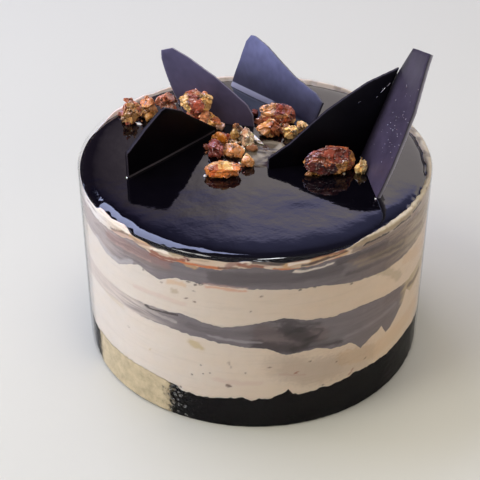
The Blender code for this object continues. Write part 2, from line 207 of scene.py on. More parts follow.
# How far cream is smeared over the two mousse layers, as (azimuth, share)
LOWER_SMEAR = [
    (-180, 0.2), (-110, 0.5), (-75, 0.95), (-55, 0.9), (-46, 0.75), (-38, 0.45), (-30, 0.18),
    (-23, 0), (54, 0), (58, 0.95), (80, 0.9), (120, 0.3),
]
UPPER_SMEAR = [
    (-180, 0.2), (-110, 0.4), (-75, 0.9), (-52, 0.62), (-44, 0.36), (-34, 0.16), (-26, 0), (44, 0),
    (53, 0.3), (60, 0.6), (90, 0.8), (130, 0.3),
]
UPPER_MOUSSE_STROKES = [
    ("pink_brown", 0.5, 1.2, 2.2, [(-51, 77.4), (-43, 78.4), (-34, 78.2), (-27, 77.6)]),
    ("pink", 0.35, 0.25, 0.5, [(-47, 76.0), (-40, 76.4), (-33, 76.2)]),
    ("taupe", 0.4, 0.4, 0.8, [(-44, 74.6), (-37, 75.0), (-28, 74.6)]),
    ("pale_grey", 0.75, 1.0, 1.2,
     [(-60, 69.6), (-54.6, 67.6), (-50.2, 67.0), (-45.2, 67.8), (-41.4, 71)]),
    ("tan", 0.7, 0.3, 0.7, [(-20.8, 79.6), (-19, 79.6), (-17.4, 79.4)]),
    ("red_brown", 0.7, 0.5, 0.6, [(-32.3, 80.2), (-28.4, 79.7), (-24.7, 80.2)]),
    ("pink", 0.6, 0.4, 0.6, [(-14.6, 72.6), (-8, 72.4), (-2.7, 72.1)]),
    ("dark", 0.42, 1.4, 3.0, [(-12, 76.5), (4, 77.5), (16, 77), (26, 76.5)]),
    ("dark", 0.45, 0.9, 1.2, [(26, 80.3), (34, 80.0), (44, 79.2)]),
    ("khaki", 0.35, 0.5, 0.8, [(33.4, 74.9), (42, 74.4), (49.6, 72.9), (67.9, 69.1)]),
    ("dark", 0.6, 1.2, 1.8, [(38, 77.6), (45, 76.4), (53, 74.6)]),
    ("taupe", 0.6, 0.7, 1.0, [(30, 78.4), (42, 78), (54, 76), (68, 72.5)]),
    ("khaki", 0.4, 0.4, 0.7, [(31, 77), (44, 76.3), (58, 73.6), (70, 70.8)]),
    ("dark", 0.35, 0.5, 0.8, [(29, 73), (40, 72.2), (52, 70.5), (62, 68.4)]),
    ("bright_cream", 0.8, 0.22, 0.35, [(11.8, 79.6), (15.5, 79.3), (20.2, 79.6), (24.1, 80.3)]),
]
UPPER_CREAM_STROKES = [
    ("tan", 0.5, 0.7, 0.7, [(-27.3, 69.2), (-24.5, 70.2), (-21.5, 69.9)]),
    ("orange", 0.45, 0.3, 0.5, [(-14.6, 71.4), (-9, 71.6), (-2.7, 71.1)]),
    ("khaki", 0.5, 0.7, 0.7, [(-25.4, 65.7), (-24.2, 65.8)]),
    ("khaki", 0.5, 1.2, 1.6, [(40.7, 68.5), (44, 66), (48, 62), (52.7, 57.6)]),
    ("taupe", 0.55, 0.5, 0.6, [(37, 68.2), (39.5, 67.6)]),
    ("tan", 0.35, 1.6, 2.0, [(56, 64), (66, 60), (78, 57)]),
    ("pink", 0.3, 0.6, 0.8, [(-40, 60), (-30, 61), (-22, 60.4)]),
]
LOWER_MOUSSE_STROKES = [
    ("cream", 0.35, 0.4, 0.7, [(-42, 51.6), (-34, 51.0), (-25, 50.2)]),
    ("dark", 0.8, 0.35, 0.35, [(-36, 53.2), (-33.4, 52.6), (-29.4, 53.1), (-24, 54.2)]),
    ("brown", 0.35, 3.0, 4.0, [(3, 50), (8, 46), (14, 45), (20, 46)]),
    ("dark", 0.2, 1.0, 1.6, [(-20, 50.5), (-8, 49), (4, 51), (14, 51)]),
    ("dark", 0.5, 0.4, 1.2, [(6, 56.6), (11, 56.2), (15, 53.4), (20, 52.2)]),
    ("dark", 0.75, 1.6, 4.0, [(10.5, 52), (13.5, 48.4), (16.5, 44.6)]),
    ("dark", 0.72, 1.2, 2.8, [(1, 44.4), (7, 42.4), (12, 41.4)]),
    ("dark", 0.7, 0.6, 1.8, [(12, 40.6), (19, 41.8), (28, 39.8)]),
    ("black", 0.4, 0.35, 1.0, [(14, 51.5), (18, 50.4), (21.5, 48.2), (19.5, 45.4), (16, 45)]),
    ("black", 0.35, 0.3, 0.9, [(9.5, 48.6), (12.5, 50.6), (16.5, 49.4)]),
    # Painted reflection: warm brown for the gold board the cake stood on, as the film reflects it
    ("brown", 0.7, 0.8, 1.0, [(60, 46.4), (65, 45.6), (70, 46.5)]),
    ("pale_grey", 0.35, 0.35, 0.5, [(-14, 47.2), (-6, 46.2), (2, 45.6)]),
    # Painted reflection: more of the gold board's warm brown, as the film reflects it
    ("brown", 0.22, 1.6, 2.0, [(47, 49), (53, 48), (60, 47)]),
    ("pale_grey", 0.14, 0.5, 0.9, [(18, 42), (30, 41), (42, 42), (52, 44)]),
]
LOWER_CREAM_STROKES = [
    ("stain", 0.25, 1.2, 1.3, [(-56, 46.2), (-51, 45.6), (-47, 45.4)]),
    ("stain", 0.62, 1.0, 1.4, [(-19.6, 41.8), (-18.2, 41.4), (-16.6, 40.6)]),
    ("pink", 0.45, 0.3, 0.5, [(8.5, 28.6), (12, 27.5), (16.4, 26.7)]),
    ("red_brown", 0.55, 0.3, 0.4, [(33.6, 22), (32.1, 19.6)]),
    ("taupe", 0.5, 0.25, 0.4, [(-7.9, 34.6), (-6.8, 32.3)]),
    ("pink", 0.3, 0.6, 0.9, [(-12, 24.8), (-4, 23.9), (2, 24.4)]),
    ("tan", 0.35, 2.6, 2.6, [(30, 30), (42, 26), (56, 28), (70, 30)]),
    ("taupe", 0.2, 4.0, 5.0, [(8, 33), (17, 27), (27, 27), (38, 26)]),
    ("brown", 0.13, 4.0, 5.0, [(13, 31), (18, 28), (25, 27)]),
]
# Specks of cake and chocolate caught against the film: colour, radius, azimuth, height
SPECKS = [
    ("brown", 0.45, -29.2, 68.0), ("dark", 0.4, -20, 72.1), ("dark", 0.45, -17.6, 71.5),
    ("dark", 0.35, -16.3, 72.0), ("dark", 0.35, -15.3, 72.2), ("dark", 0.3, -36, 70.4),
    ("brown", 0.35, -20.9, 63.8), ("brown", 0.35, -18.3, 62.9), ("taupe", 0.4, -18.2, 68.2),
    ("dark", 0.4, 14.1, 70.6), ("dark", 0.35, 17.8, 70.4), ("dark", 0.4, 30.8, 67.3),
    ("brown", 0.35, 2.3, 68.8), ("brown", 0.35, -0.6, 61.4), ("taupe", 0.4, 4.9, 32.6),
    ("red_brown", 0.45, 13.7, 28.5), ("dark", 0.35, 18, 33.1), ("dark", 0.5, 22.7, 18.9),
    ("brown", 1.25, -7.9, 22.3), ("stain", 0.5, -35, 30.2), ("taupe", 0.35, -44, 36.0),
    ("brown", 0.3, 26.4, 29.0), ("taupe", 0.3, -2.5, 29.6), ("dark", 0.35, 38, 24.4),
]

# Each shard: foot of its outline on the glaze, heading of its foot line, lean away from the
# front, bow, colours below, above and at the rim, and the outline as (along the foot line, up
# the shard). These colours are painted light: purple where the left window lights the face, near
# black (the chocolate's own dark) where no light falls on it, changing towards the top as the light
# falls, and a pale rim is a painted highlight on the edge. The painted highlight along the foot,
# where a shard has one, is its colour, height and length
SHARDS = {
    "shard_1": dict(
        foot=(-30.3, 31.9), heading=-12.1, lean=19.0, bow=0.5, sheen="soft",
        low=(66, 58, 74), high=(80, 76, 102), rim=(150, 142, 158),
        outline=[(0, 0), (-8.2, 12.5), (-11.3, 18.9), (-14, 25.7), (-14.2, 29.2), (-9.2, 30.6),
                 (-1.9, 27.4), (10.6, 20.2), (21.1, 12.9), (26.6, 8.8), (29.4, 4.5), (30.3, 0)],
    ),
    "shard_2": dict(
        foot=(-52.3, -18.2), heading=48.5, lean=-3.0, bow=0.3, sheen="none",
        low=(7, 5, 8), high=(9, 7, 10), rim=(58, 52, 60),
        broken_foot=((84, 80, 84), 0.5, 60.0),
        outline=[(0, 0), (-0.5, 11.5), (10, 18.8), (19, 24), (21.5, 24.4), (31, 19), (39, 12.2),
                 (52.6, 1.5), (52, 0)],
    ),
    "shard_3": dict(
        foot=(-11.7, 64.2), heading=-44.4, lean=27.0, bow=0.5, sheen="soft",
        low=(48, 46, 62), high=(98, 100, 134), rim=(84, 82, 104),
        broken_foot=((143, 142, 161), 1.7, 26.0),
        outline=[(0, 0), (-0.3, 7), (-0.1, 13.3), (0, 21.7), (1.6, 25), (3.6, 25.5), (12.9, 23.5),
                 (22, 20), (33.9, 15.8), (48, 12.9), (52.8, 10.2), (52, 0)],
    ),
    "shard_4": dict(
        foot=(6.2, -10.2), heading=15.0, lean=10.0, bow=0.3, sheen="none",
        low=(4, 3, 6), high=(22, 21, 28), rim=(66, 62, 72),
        outline=[(-0.8, 0), (-0.4, 4.3), (9, 9.7), (18.7, 17.4), (25.5, 22.5), (33.2, 26.9),
                 (43.2, 32.3), (62, 38.6), (54, 0)],
    ),
    "shard_5": dict(
        foot=(49.0, -32.3), heading=97.0, lean=23.8, bow=0.5, sheen="soft",
        low=(66, 58, 74), high=(60, 53, 66), rim=(20, 16, 20), back_rim=(178, 175, 186),
        outline=[(0, 0), (1.8, 13.6), (5.4, 26.7), (9.4, 36.6), (18.8, 50.3), (22.9, 56.4),
                 (40.2, 50.3), (41.1, 40.6), (42.3, 30.5), (40.1, 18.5), (36, 1.3), (35.5, 0)],
    ),
}
DARK_SIDE = (22, 18, 24)
# Painted highlights on the leaning shard, standing for the lit edge of the shard it meets: from, to,
# width and colour
EDGE_GLINTS = [
    ((53.3, 31.4), (51.2, 29.6), 0.35, (150, 146, 160)),
    ((51.0, 29.6), (48.5, 27.2), 0.5, (186, 184, 196)),
    ((47.6, 26.2), (46.6, 25.2), 0.3, (120, 116, 130)),
    ((40.2, 24.8), (38.6, 24.2), 0.3, (96, 92, 106)),
]
LEANING_SHARD = "shard_4"
SHARD_IT_MEETS = "shard_5"
SHARD_GAP = 0.3

# Each pecan piece: middle, size, heading, roughness, chips, depth of its grooves, and tones
PECANS = {
    "pecan_01": ((-56.5, 29.5), (7.5, 7, 9), 20, 0.14, 2, 0.03, "rosy"),
    "pecan_02": ((-47.8, 32.5), (9.5, 7.4, 12), -25, 0.14, 4, 0.03, "gold"),
    "pecan_03": ((-56.0, 38.5), (7, 6, 7), 10, 0.14, 1, 0.03, "red"),
    "pecan_04": ((-39.6, 41.0), (9.5, 8.4, 9.4), 35, 0.10, 3, 0.03, "salmon"),
    "pecan_05": ((-26.2, 27.6), (15, 9.4, 9.8), 0, 0.06, 0, 0.07, "toasted"),
    "pecan_06": ((-20.8, 25.6), (9, 7.4, 8.6), -20, 0.14, 4, 0.03, "gold"),
    "pecan_07": ((-15.9, 9.2), (7.6, 5.5, 8), 15, 0.14, 3, 0.03, "caramel"),
    "pecan_08": ((-8.2, 14.6), (6.6, 7, 8.5), -10, 0.14, 3, 0.03, "olive"),
    "pecan_09": ((-17.0, 1.2), (7.2, 7, 7.5), 30, 0.16, 1, 0.03, "purple"),
    "pecan_10": ((-8.9, 1.0), (8.4, 6.2, 5.5), -22, 0.12, 2, 0.03, "pale"),
    "pecan_11": ((-3.6, 9.0), (6, 7.5, 9.5), 12, 0.11, 1, 0.03, "creamy"),
    "pecan_12": ((-13.8, -15.2), (15.5, 7.6, 7.2), 4, 0.07, 0, 0.08, "orange"),
    "pecan_13": ((-3.4, -6.8), (7, 5.4, 5), -15, 0.14, 3, 0.03, "pale"),
    "pecan_14": ((9.8, 30.2), (16.5, 9.6, 10), -12, 0.06, 0, 0.10, "chestnut"),
    "pecan_15": ((6.6, 18.6), (9.6, 8, 9), 25, 0.14, 4, 0.03, "gold"),
    "pecan_16": ((15.6, 16.2), (5.6, 5.6, 6.4), 40, 0.14, 3, 0.03, "pale"),
    "pecan_17": ((21.0, 20.4), (5.8, 5.2, 6.4), -30, 0.14, 3, 0.03, "pale"),
    "pecan_18": ((31.4, -11.2), (22.5, 10.4, 12.5), 14, 0.05, 0, 0.08, "dark"),
    "pecan_19": ((43.6, -11.6), (5.2, 5.2, 7), 0, 0.14, 3, 0.03, "pale"),
    "pecan_20": ((-28.6, 28.6), (6.6, 6.4, 6.0), 30, 0.12, 2, 0.03, "red"),
}
# The pieces that lie on others, and the height of their undersides over the glaze
RAISED_PECANS = {"pecan_05": 6.1}
LARGE_PECAN = 14.0
LARGE_RELIEF = 0.6
CARAMEL_GLOW = np.array((1.13, 1.04, 0.80))
PECAN_SINK = 0.16
GROOVES = 7
FIRST_SEED = 11
NOISE_SEED = 1
FACETS = 4
PECAN_GROWTH = 1.10
BROKEN_FACE = 3.9
CRYSTAL = 1.1
TONE_PATCH = 6.5
# Tones of the broken faces of each kind of piece, the commonest first
TONES = {
    "red": [(176, 94, 74), (200, 126, 104), (138, 62, 48), (222, 178, 130), (206, 140, 116)],
    "salmon": [(204, 138, 118), (192, 114, 90), (216, 158, 136), (172, 92, 72), (226, 182, 146)],
    "rosy": [(186, 104, 90), (214, 166, 112), (150, 68, 54), (204, 134, 104), (226, 186, 140)],
    "chestnut": [(172, 92, 62), (206, 150, 102), (140, 62, 46), (112, 46, 42), (222, 180, 130)],
    "toasted": [(224, 184, 126), (198, 118, 98), (176, 92, 78), (236, 204, 160), (212, 142, 114)],
    "orange": [(206, 128, 66), (218, 164, 106), (206, 130, 110), (178, 90, 46), (234, 192, 132)],
    "caramel": [(214, 136, 40), (188, 98, 34), (228, 172, 84), (150, 66, 38), (206, 158, 92)],
    "gold": [(222, 168, 106), (200, 138, 82), (236, 198, 146), (176, 102, 68), (210, 144, 110)],
    "olive": [(198, 166, 104), (172, 136, 80), (216, 188, 132), (150, 104, 62), (186, 146, 96)],
    "purple": [(122, 52, 62), (164, 96, 100), (92, 38, 44), (192, 138, 122), (140, 66, 60)],
    "pale": [(244, 204, 144), (226, 176, 114), (250, 224, 176), (206, 148, 98), (238, 194, 138)],
    "creamy": [(238, 226, 212), (214, 190, 168), (246, 238, 228), (196, 150, 124), (226, 206, 184)],
    "dark": [(98, 38, 31), (134, 62, 45), (206, 150, 90), (74, 28, 25), (166, 92, 60)],
}
SUGAR = (240, 220, 200)

# Small pieces among the pecans, and white beads that are painted glints: place, size, heading, colour
BITS_AND_GLINTS = [
    ((-27.8, 35.4), (3.0, 2.4, 2.6), 20, (176, 116, 72)),
    ((-15.3, 23.0), (4.4, 3.2, 3.6), -15, (206, 160, 132)),
    ((-0.3, 36.0), (3.6, 3.0, 3.4), 30, (128, 62, 42)),
    ((2.6, 29.0), (6.6, 2.8, 2.8), -6, (150, 84, 52)),
    ((-6.9, 21.4), (2.6, 2.2, 3.0), 50, (232, 222, 206)),
    ((-6.0, 12.6), (2.8, 2.4, 3.4), 15, (238, 228, 212)),
    ((-5.8, 4.6), (3.0, 2.2, 2.6), -30, (230, 214, 190)),
    ((-1.6, 4.4), (5.2, 3.8, 3.8), 25, (158, 106, 66)),
    ((-0.6, 13.0), (11.5, 2.9, 2.9), -46, (250, 242, 230)),
    ((-12.2, 4.6), (3.4, 2.8, 3.0), 60, (176, 92, 52)),
    ((-21.0, 5.8), (3.2, 2.6, 2.6), 10, (150, 84, 56)),
    ((13.4, 24.2), (3.4, 2.8, 2.8), -40, (160, 104, 64)),
    ((22.4, -15.2), (3.6, 2.6, 2.6), 20, (184, 132, 84)),
    ((40.2, -7.4), (2.6, 2.2, 2.4), 0, (120, 60, 44)),
    ((-60.4, 35.0), (3.0, 2.6, 2.6), 0, (136, 76, 54)),
    ((-49.4, 39.8), (4.0, 3.0, 3.4), 30, (168, 96, 62)),
    # The near-white beads from here on are painted highlights: glints on the glaze at the feet of
    # shard_2, pecan_12 and shard_5, and under pecan_01
    ((-53.1, -18.4), (0.9, 0.8, 0.7), 0, (250, 250, 252)),
    ((-20.8, -16.6), (1.6, 1.0, 1.0), 10, (250, 248, 246)),
    ((-52.0, 26.6), (3.4, 1.2, 1.0), -25, (244, 240, 244)),
    ((48.6, -33.0), (1.0, 0.8, 0.8), 0, (250, 250, 252)),
]
# Groups of crumbs: middle, spread and count, and the tones of their crumbs
CRUMB_GROUPS = [
    ((-52, 34), 6.0, 14), ((-32, 38), 7.0, 10), ((-10, 7), 6.5, 34), ((-8, -10), 5.0, 8),
    ((10, 24), 8.0, 18), ((33, -10), 6.0, 8),
]
CRUMB_TONES = [(176, 110, 64), (206, 160, 104), (132, 66, 42), (226, 206, 176)]
# Border and middle of the thin pool in the middle of the glaze
POOL_BORDER = [
    (-4.6, 13.1), (2.8, 14.9), (10.6, 12.4), (14.8, 4.9), (12.5, -4.6), (7.0, -8.4),
    (-2.2, -9.1), (-5.3, -0.4),
]
POOL_MIDDLE = (4.2, 2.6)
POOL_RINGS = 25
POOL_COLUMNS = 120
CHIP_COUNT = 46
CHIP_COLOUR = (172, 168, 182)

# Each lamp, in metres and watts: place, target, size, power, colour, and whether it lights
# surfaces, shows in gloss, or both
LAMPS = {
    "window": ((-1.25, -0.28, 0.42), (0.0, 0.0, 0.06), (1.1, 0.9), 15.0, (0.95, 0.965, 1.0), "lights"),
    "high_window": ((-0.60, 0.50, 1.14), (0.0, 0.0, 0.09), (1.2, 0.6), 15.5, (0.58, 0.64, 1.0), "both"),
    "ceiling": ((0.25, 0.1, 1.7), (0.0, 0.0, 0.0), (1.6, 1.6), 12.0, (1.0, 0.98, 0.95), "lights"),
    "room": ((0.95, -1.1, 0.55), (0.0, 0.0, 0.06), (1.2, 1.0), 5.8, (1.0, 0.88, 0.74), "lights"),
    "strip": ((0.08, -0.13, 1.0), (0.01, -0.07, 0.086), (0.17, 0.05), 1.2, (0.95, 0.97, 1.0), "shows"),
    "lamp": ((-0.50, -0.32, 1.05), (0.0, 0.0, 0.09), (0.3, 0.3), 2.6, (1.0, 0.98, 0.94), "both"),
}
# The room seen from the cake: brightness from left to right, then a tint from below to above
ROOM_ACROSS = [
    (0.05, (0.06, 0.05, 0.08)), (0.24, (0.30, 0.27, 0.33)), (0.36, (0.62, 0.60, 0.66)),
    (0.48, (1.42, 1.40, 1.40)), (0.78, (1.50, 1.50, 1.50)),
]
ROOM_UPWARD = [
    (0.0, (0.95, 0.90, 0.86)), (0.537, (1.0, 0.90, 0.90)), (0.553, (0.80, 0.74, 0.96)),
    (0.570, (0.64, 0.63, 1.06)), (0.592, (0.20, 0.21, 0.42)), (0.75, (0.06, 0.06, 0.12)),
]
ROOM_BEFORE = (0.16, 0.155, 0.18)
CAMERA_PLACE = (0.0, -0.44349, 0.35343)
CAMERA_DIRECTION = (-0.0121, 0.8192, -0.5734)
CAMERA_LENS = 90.855


def linear(colour):
    """A colour of 0 to 255 as the shader wants it."""
    share = np.asarray(colour, dtype=float) / 255.0
    return np.where(share <= 0.04045, share / 12.92, ((share + 0.055) / 1.055) ** 2.4)


def height_at(points, azimuths):
    """The values of a table of (azimuth, value) that closes round the cake."""
    places, heights = zip(*points)
    return np.interp(azimuths, places, heights, period=360.0)


def waver(azimuths, seed, per_turn, amount):
    """Noise round the cake that closes on itself."""
    scale = per_turn / (2.0 * math.pi)
    made = []
    for azimuth in azimuths:
        turn = math.radians(azimuth)
        place = Vector((math.cos(turn) * scale, math.sin(turn) * scale, seed * 7.3))
        made.append(noise.noise(place))
    return amount * np.array(made)


def smooth_step(low, high, value):
    """0 up to low and 1 from high on, with a smooth change between them."""
    share = np.clip((value - low) / (high - low), 0.0, 1.0)
    return share * share * (3.0 - 2.0 * share)


def round_step(low, high, azimuths):
    """A smooth step round the cake that is half way again at the back, so that it closes."""
    back = smooth_step(110.0, 180.0, -azimuths) - smooth_step(110.0, 180.0, azimuths)
    return smooth_step(low, high, azimuths) + 0.5 * back


def field(points, seed, scale):
    """Noise of about -1 to 1 at each point, with its own stretch along each axis."""
    shift = Vector((seed * 3.7, seed * 5.1, seed * 1.9))
    stretched = np.asarray(points) * np.asarray(scale)
    return np.array([noise.noise(Vector(place) + shift) for place in stretched.tolist()])


def azimuths_of(points):
    """The azimuth of each point in degrees."""
    return np.degrees(np.arctan2(points[:, 0], -points[:, 1]))


def lay_over(base, colour, cover):
    """Lays a linear colour over the base colours, as far as cover says for each point."""
    base += (colour - base) * cover[:, None]


def moved_faces(faces, start):
    """Faces whose points begin at another index."""
    return [tuple(start + item for item in face) for face in faces]


def add_object(name, data):
    """A new object in the scene."""
    made = bpy.data.objects.new(name, data)
    bpy.context.scene.collection.objects.link(made)
    return made


def set_tint(mesh, colours):
    """Stores a linear colour for each vertex, for the materials to read."""
    layer = mesh.color_attributes.new("tint", "FLOAT_COLOR", "POINT")
    rows = np.ones((len(colours), 4), dtype=np.float32)
    rows[:, :3] = colours
    layer.data.foreach_set("color", rows.ravel())


def make_piece(name, points, faces, finish, tint=None, sharp=None):
    """A mesh from points in millimetres, on the cake's one body."""
    mesh = bpy.data.meshes.new(name)
    mesh.from_pydata((np.asarray(points, dtype=float) * MM).tolist(), [], faces)
    mesh.update()
    mesh.materials.append(finish)
    mesh.shade_smooth()
    if sharp is not None:
        mesh.set_sharp_from_angle(angle=math.radians(sharp))
    if tint is not None:
        set_tint(mesh, tint)
    piece = add_object(name, mesh)
    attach(piece, "root")
    return piece


def feed(tree, node, inputs):
    """Links the inputs of a node that come from another one, and sets the others."""
    for key, value in inputs.items():
        if isinstance(value, bpy.types.NodeSocket):
            tree.links.new(value, node.inputs[key])
        else:
            node.inputs[key].default_value = value


def add_node(tree, kind, inputs=None, **settings):
    """A new node with its settings and inputs."""
    node = tree.nodes.new(kind)
    for key, value in settings.items():
        setattr(node, key, value)
    feed(tree, node, inputs or {})
    return node


def start_material(name):
    """A new material: itself, its node tree, its shader and the place on the object."""
    made = bpy.data.materials.new(name)
    made.use_nodes = True
    tree = made.node_tree
    place = add_node(tree, "ShaderNodeTexCoord").outputs["Object"]
    return made, tree, tree.nodes["Principled BSDF"], place


def tint_node(tree, output="Color"):
    """The colour stored in the mesh, or its brightness with output Fac."""
    return add_node(tree, "ShaderNodeAttribute", attribute_name="tint").outputs[output]


def noise_node(tree, place, scale, detail=3.0, rough=0.55):
    """Noise of 0 to 1, with scale in waves to the metre."""
    inputs = {"Vector": place, "Scale": scale, "Detail": detail, "Roughness": rough}
    return add_node(tree, "ShaderNodeTexNoise", inputs).outputs["Fac"]


def ramp_node(tree, factor, stops):
    """A ramp of (position, colour), where one number stands for a grey."""
    node = add_node(tree, "ShaderNodeValToRGB", {"Fac": factor})
    while len(node.color_ramp.elements) < len(stops):
        node.color_ramp.elements.new(0.5)
    for element, (position, colour) in zip(node.color_ramp.elements, stops):
        if not isinstance(colour, tuple):
            colour = (colour, colour, colour)
        element.position = position
        element.color = (*colour, 1.0)
    return node.outputs["Color"]


def mix_colour(tree, factor, first, second, kind="MIX"):
    """Two colours mixed, each a node's output or a fixed one."""
    inputs = {"Fac": factor}
    for key, value in (("Color1", first), ("Color2", second)):
        inputs[key] = (*value, 1.0) if isinstance(value, tuple) else value
    return add_node(tree, "ShaderNodeMixRGB", inputs, blend_type=kind).outputs["Color"]


def bump_node(tree, height, distance, strength=1.0, before=None):
    """A bumped normal, with distance in metres, on top of the one before it."""
    inputs = {"Height": height, "Distance": distance, "Strength": strength}
    if before is not None:
        inputs["Normal"] = before
    return add_node(tree, "ShaderNodeBump", inputs).outputs["Normal"]


def mix_surface(tree, amount, first, second):
    """The second shader over the first one, as the material's surface."""
    inputs = {0: amount, 1: first.outputs[0], 2: second.outputs[0]}
    mixed = add_node(tree, "ShaderNodeMixShader", inputs)
    tree.links.new(mixed.outputs[0], tree.nodes["Material Output"].inputs["Surface"])


def food_material(name, rough, mottle, soft, bump, scale, gloss_level=0.35):
    """Painted food: the tint of each vertex, mottled, softened by light inside it."""
    made, tree, shader, place = start_material(name)
    large = noise_node(tree, place, scale * 0.12, 4.0)
    shade = ramp_node(tree, large, [(0.25, 1.0 - mottle), (0.75, 1.0)])
    fine = noise_node(tree, place, scale, 4.0)
    grain = ramp_node(tree, fine, [(0.3, 1.0 - 0.6 * mottle), (0.6, 1.0)])
    colour = mix_colour(tree, 1.0, tint_node(tree), shade, "MULTIPLY")
    feed(tree, shader, {
        "Base Color": mix_colour(tree, 1.0, colour, grain, "MULTIPLY"),
        "Roughness": rough,
        "Subsurface Weight": soft,
        "Subsurface Radius": (1.0, 0.7, 0.5),
        "Subsurface Scale": 0.0015,
        "Specular IOR Level": gloss_level,
        "Normal": bump_node(tree, fine, bump),
    })
    return made


def glaze_material():
    """A dark mirror, faintly waved and dimpled."""
    made, tree, shader, place = start_material("mirror_glaze")
    cloud = noise_node(tree, place, 60.0, 3.0)
    haze = noise_node(tree, place, 45.0, 2.0)
    wave = bump_node(tree, noise_node(tree, place, 38.0, 1.5), 0.0006, 0.30)
    dimple = noise_node(tree, place, 240.0, 2.0)
    darks = [(0.3, (0.0012, 0.0009, 0.0018)), (0.8, (0.0030, 0.0023, 0.0038))]
    feed(tree, shader, {
        "Base Color": ramp_node(tree, cloud, darks),
        "Roughness": ramp_node(tree, haze, [(0.3, 0.035), (0.8, 0.075)]),
        "IOR": 1.55,
        "Normal": bump_node(tree, dimple, 0.00012, 0.30, wave),
    })
    return made


def chocolate_material(name, gloss_level):
    """Set chocolate: painted, a little cloudy, with a fine grain. The painted tint holds the sheen and
    light of the shards.
    """
    made, tree, shader, place = start_material(name)
    shade = ramp_node(tree, noise_node(tree, place, 55.0, 4.0), [(0.3, 0.82), (0.7, 1.0)])
    haze = noise_node(tree, place, 90.0, 3.0)
    grain = noise_node(tree, place, 420.0, 3.0)
    feed(tree, shader, {
        "Base Color": mix_colour(tree, 1.0, tint_node(tree), shade, "MULTIPLY"),
        "Roughness": ramp_node(tree, haze, [(0.3, 0.30), (0.7, 0.42)]),
        "IOR": 1.45,
        "Specular IOR Level": gloss_level,
        "Normal": bump_node(tree, grain, 0.00006, 0.5),
    })
    return made


def pecan_material():
    """Candied nut: the tones of its broken faces under a clear coat of sugar."""
    made, tree, shader, place = start_material("candied_pecan")
    fine = noise_node(tree, place, 420.0, 4.0, 0.6)
    shade = ramp_node(tree, fine, [(0.30, (0.86, 0.78, 0.70)), (0.58, 1.0), (0.80, (1.15, 1.12, 1.04))])
    haze = noise_node(tree, place, 300.0, 2.0)
    crust = noise_node(tree, place, 700.0, 3.0, 0.6)
    normal = bump_node(tree, crust, 0.00016, 0.7)
    feed(tree, shader, {
        "Base Color": mix_colour(tree, 1.0, tint_node(tree), shade, "MULTIPLY"),
        "Roughness": ramp_node(tree, haze, [(0.3, 0.28), (0.7, 0.5)]),
        "Subsurface Weight": 0.15,
        "Subsurface Radius": (1.0, 0.45, 0.2),
        "Subsurface Scale": 0.001,
        "Coat Weight": 1.0,
        "Coat Roughness": 0.07,
        "Normal": normal,
        "Coat Normal": normal,
    })
    return made


def film_material():
    """Clear film: see-through, with a weak gloss that grows towards its outline."""
    made, tree, shader, place = start_material("clear_film")
    tree.nodes.remove(shader)
    smudge = noise_node(tree, place, 50.0, 4.0)
    ripple = noise_node(tree, place, 28.0, 2.0)
    gloss = add_node(tree, "ShaderNodeBsdfAnisotropic", {
        "Roughness": ramp_node(tree, smudge, [(0.3, 0.03), (0.8, 0.09)]),
        "Normal": bump_node(tree, ripple, 0.0006, 0.35),
    })
    clear = add_node(tree, "ShaderNodeBsdfTransparent", {"Color": (0.985, 0.985, 0.985, 1.0)})
    facing = add_node(tree, "ShaderNodeLayerWeight", {"Blend": 0.5}).outputs["Facing"]
    amount = ramp_node(tree, facing, [(0.0, 0.006), (0.55, 0.012), (0.8, 0.05), (1.0, 0.42)])
    mix_surface(tree, amount, clear, gloss)
    return made


def veil_material(name, colour, dense):
    """A thin cloudy layer that shows what is behind it where its cover is low."""
    made, tree, shader, place = start_material(name)
    cloud = noise_node(tree, place, 260.0, 4.0, 0.6)
    beads = ramp_node(tree, cloud, [(0.32, dense * 0.72), (0.62, dense)])
    amount = mix_colour(tree, 1.0, tint_node(tree, "Fac"), beads, "MULTIPLY")
    tones = [tuple(linear(colour) * share) for share in (1.0, 0.82)]
    tone = mix_colour(tree, noise_node(tree, place, 30.0, 2.0), *tones)
    feed(tree, shader, {"Base Color": tone, "Roughness": 0.5})
    mix_surface(tree, amount, add_node(tree, "ShaderNodeBsdfTransparent"), shader)
    return made


def water_material():
    """Clear water."""
    made, tree, shader, place = start_material("condensation")
    haze = noise_node(tree, place, 300.0, 2.0)
    feed(tree, shader, {
        "Roughness": ramp_node(tree, haze, [(0.3, 0.02), (0.7, 0.08)]),
        "Transmission Weight": 1.0,
        "IOR": 1.33,
    })
    return made


def floor_material():
    """A plain pale ground."""
    made, tree, shader, place = start_material("pale_floor")
    tones = [(0.3, (0.570, 0.555, 0.462)), (0.7, (0.590, 0.575, 0.480))]
    feed(tree, shader, {
        "Base Color": ramp_node(tree, noise_node(tree, place, 1.2, 2.0), tones),
        "Roughness": 0.6,
        "Specular IOR Level": 0.2,
    })
    return made


def on_side(azimuths, radii, heights):
    """Points of a turned surface, with one radius and height for all or one for each azimuth."""
    turn = np.radians(azimuths)
    heights = np.broadcast_to(heights, turn.shape)
    return np.stack([radii * np.sin(turn), -radii * np.cos(turn), heights], axis=-1)


def grid_faces(rows, columns, start=0, closed=True):
    """Faces of a grid of points, row after row, that look outwards on a turned surface."""
    faces = []
    for row in range(rows - 1):
        low = start + row * columns
        high = low + columns
        for column in range(columns if closed else columns - 1):
            after = (column + 1) % columns
            faces.append((low + column, low + after, high + after, high + column))
    return faces


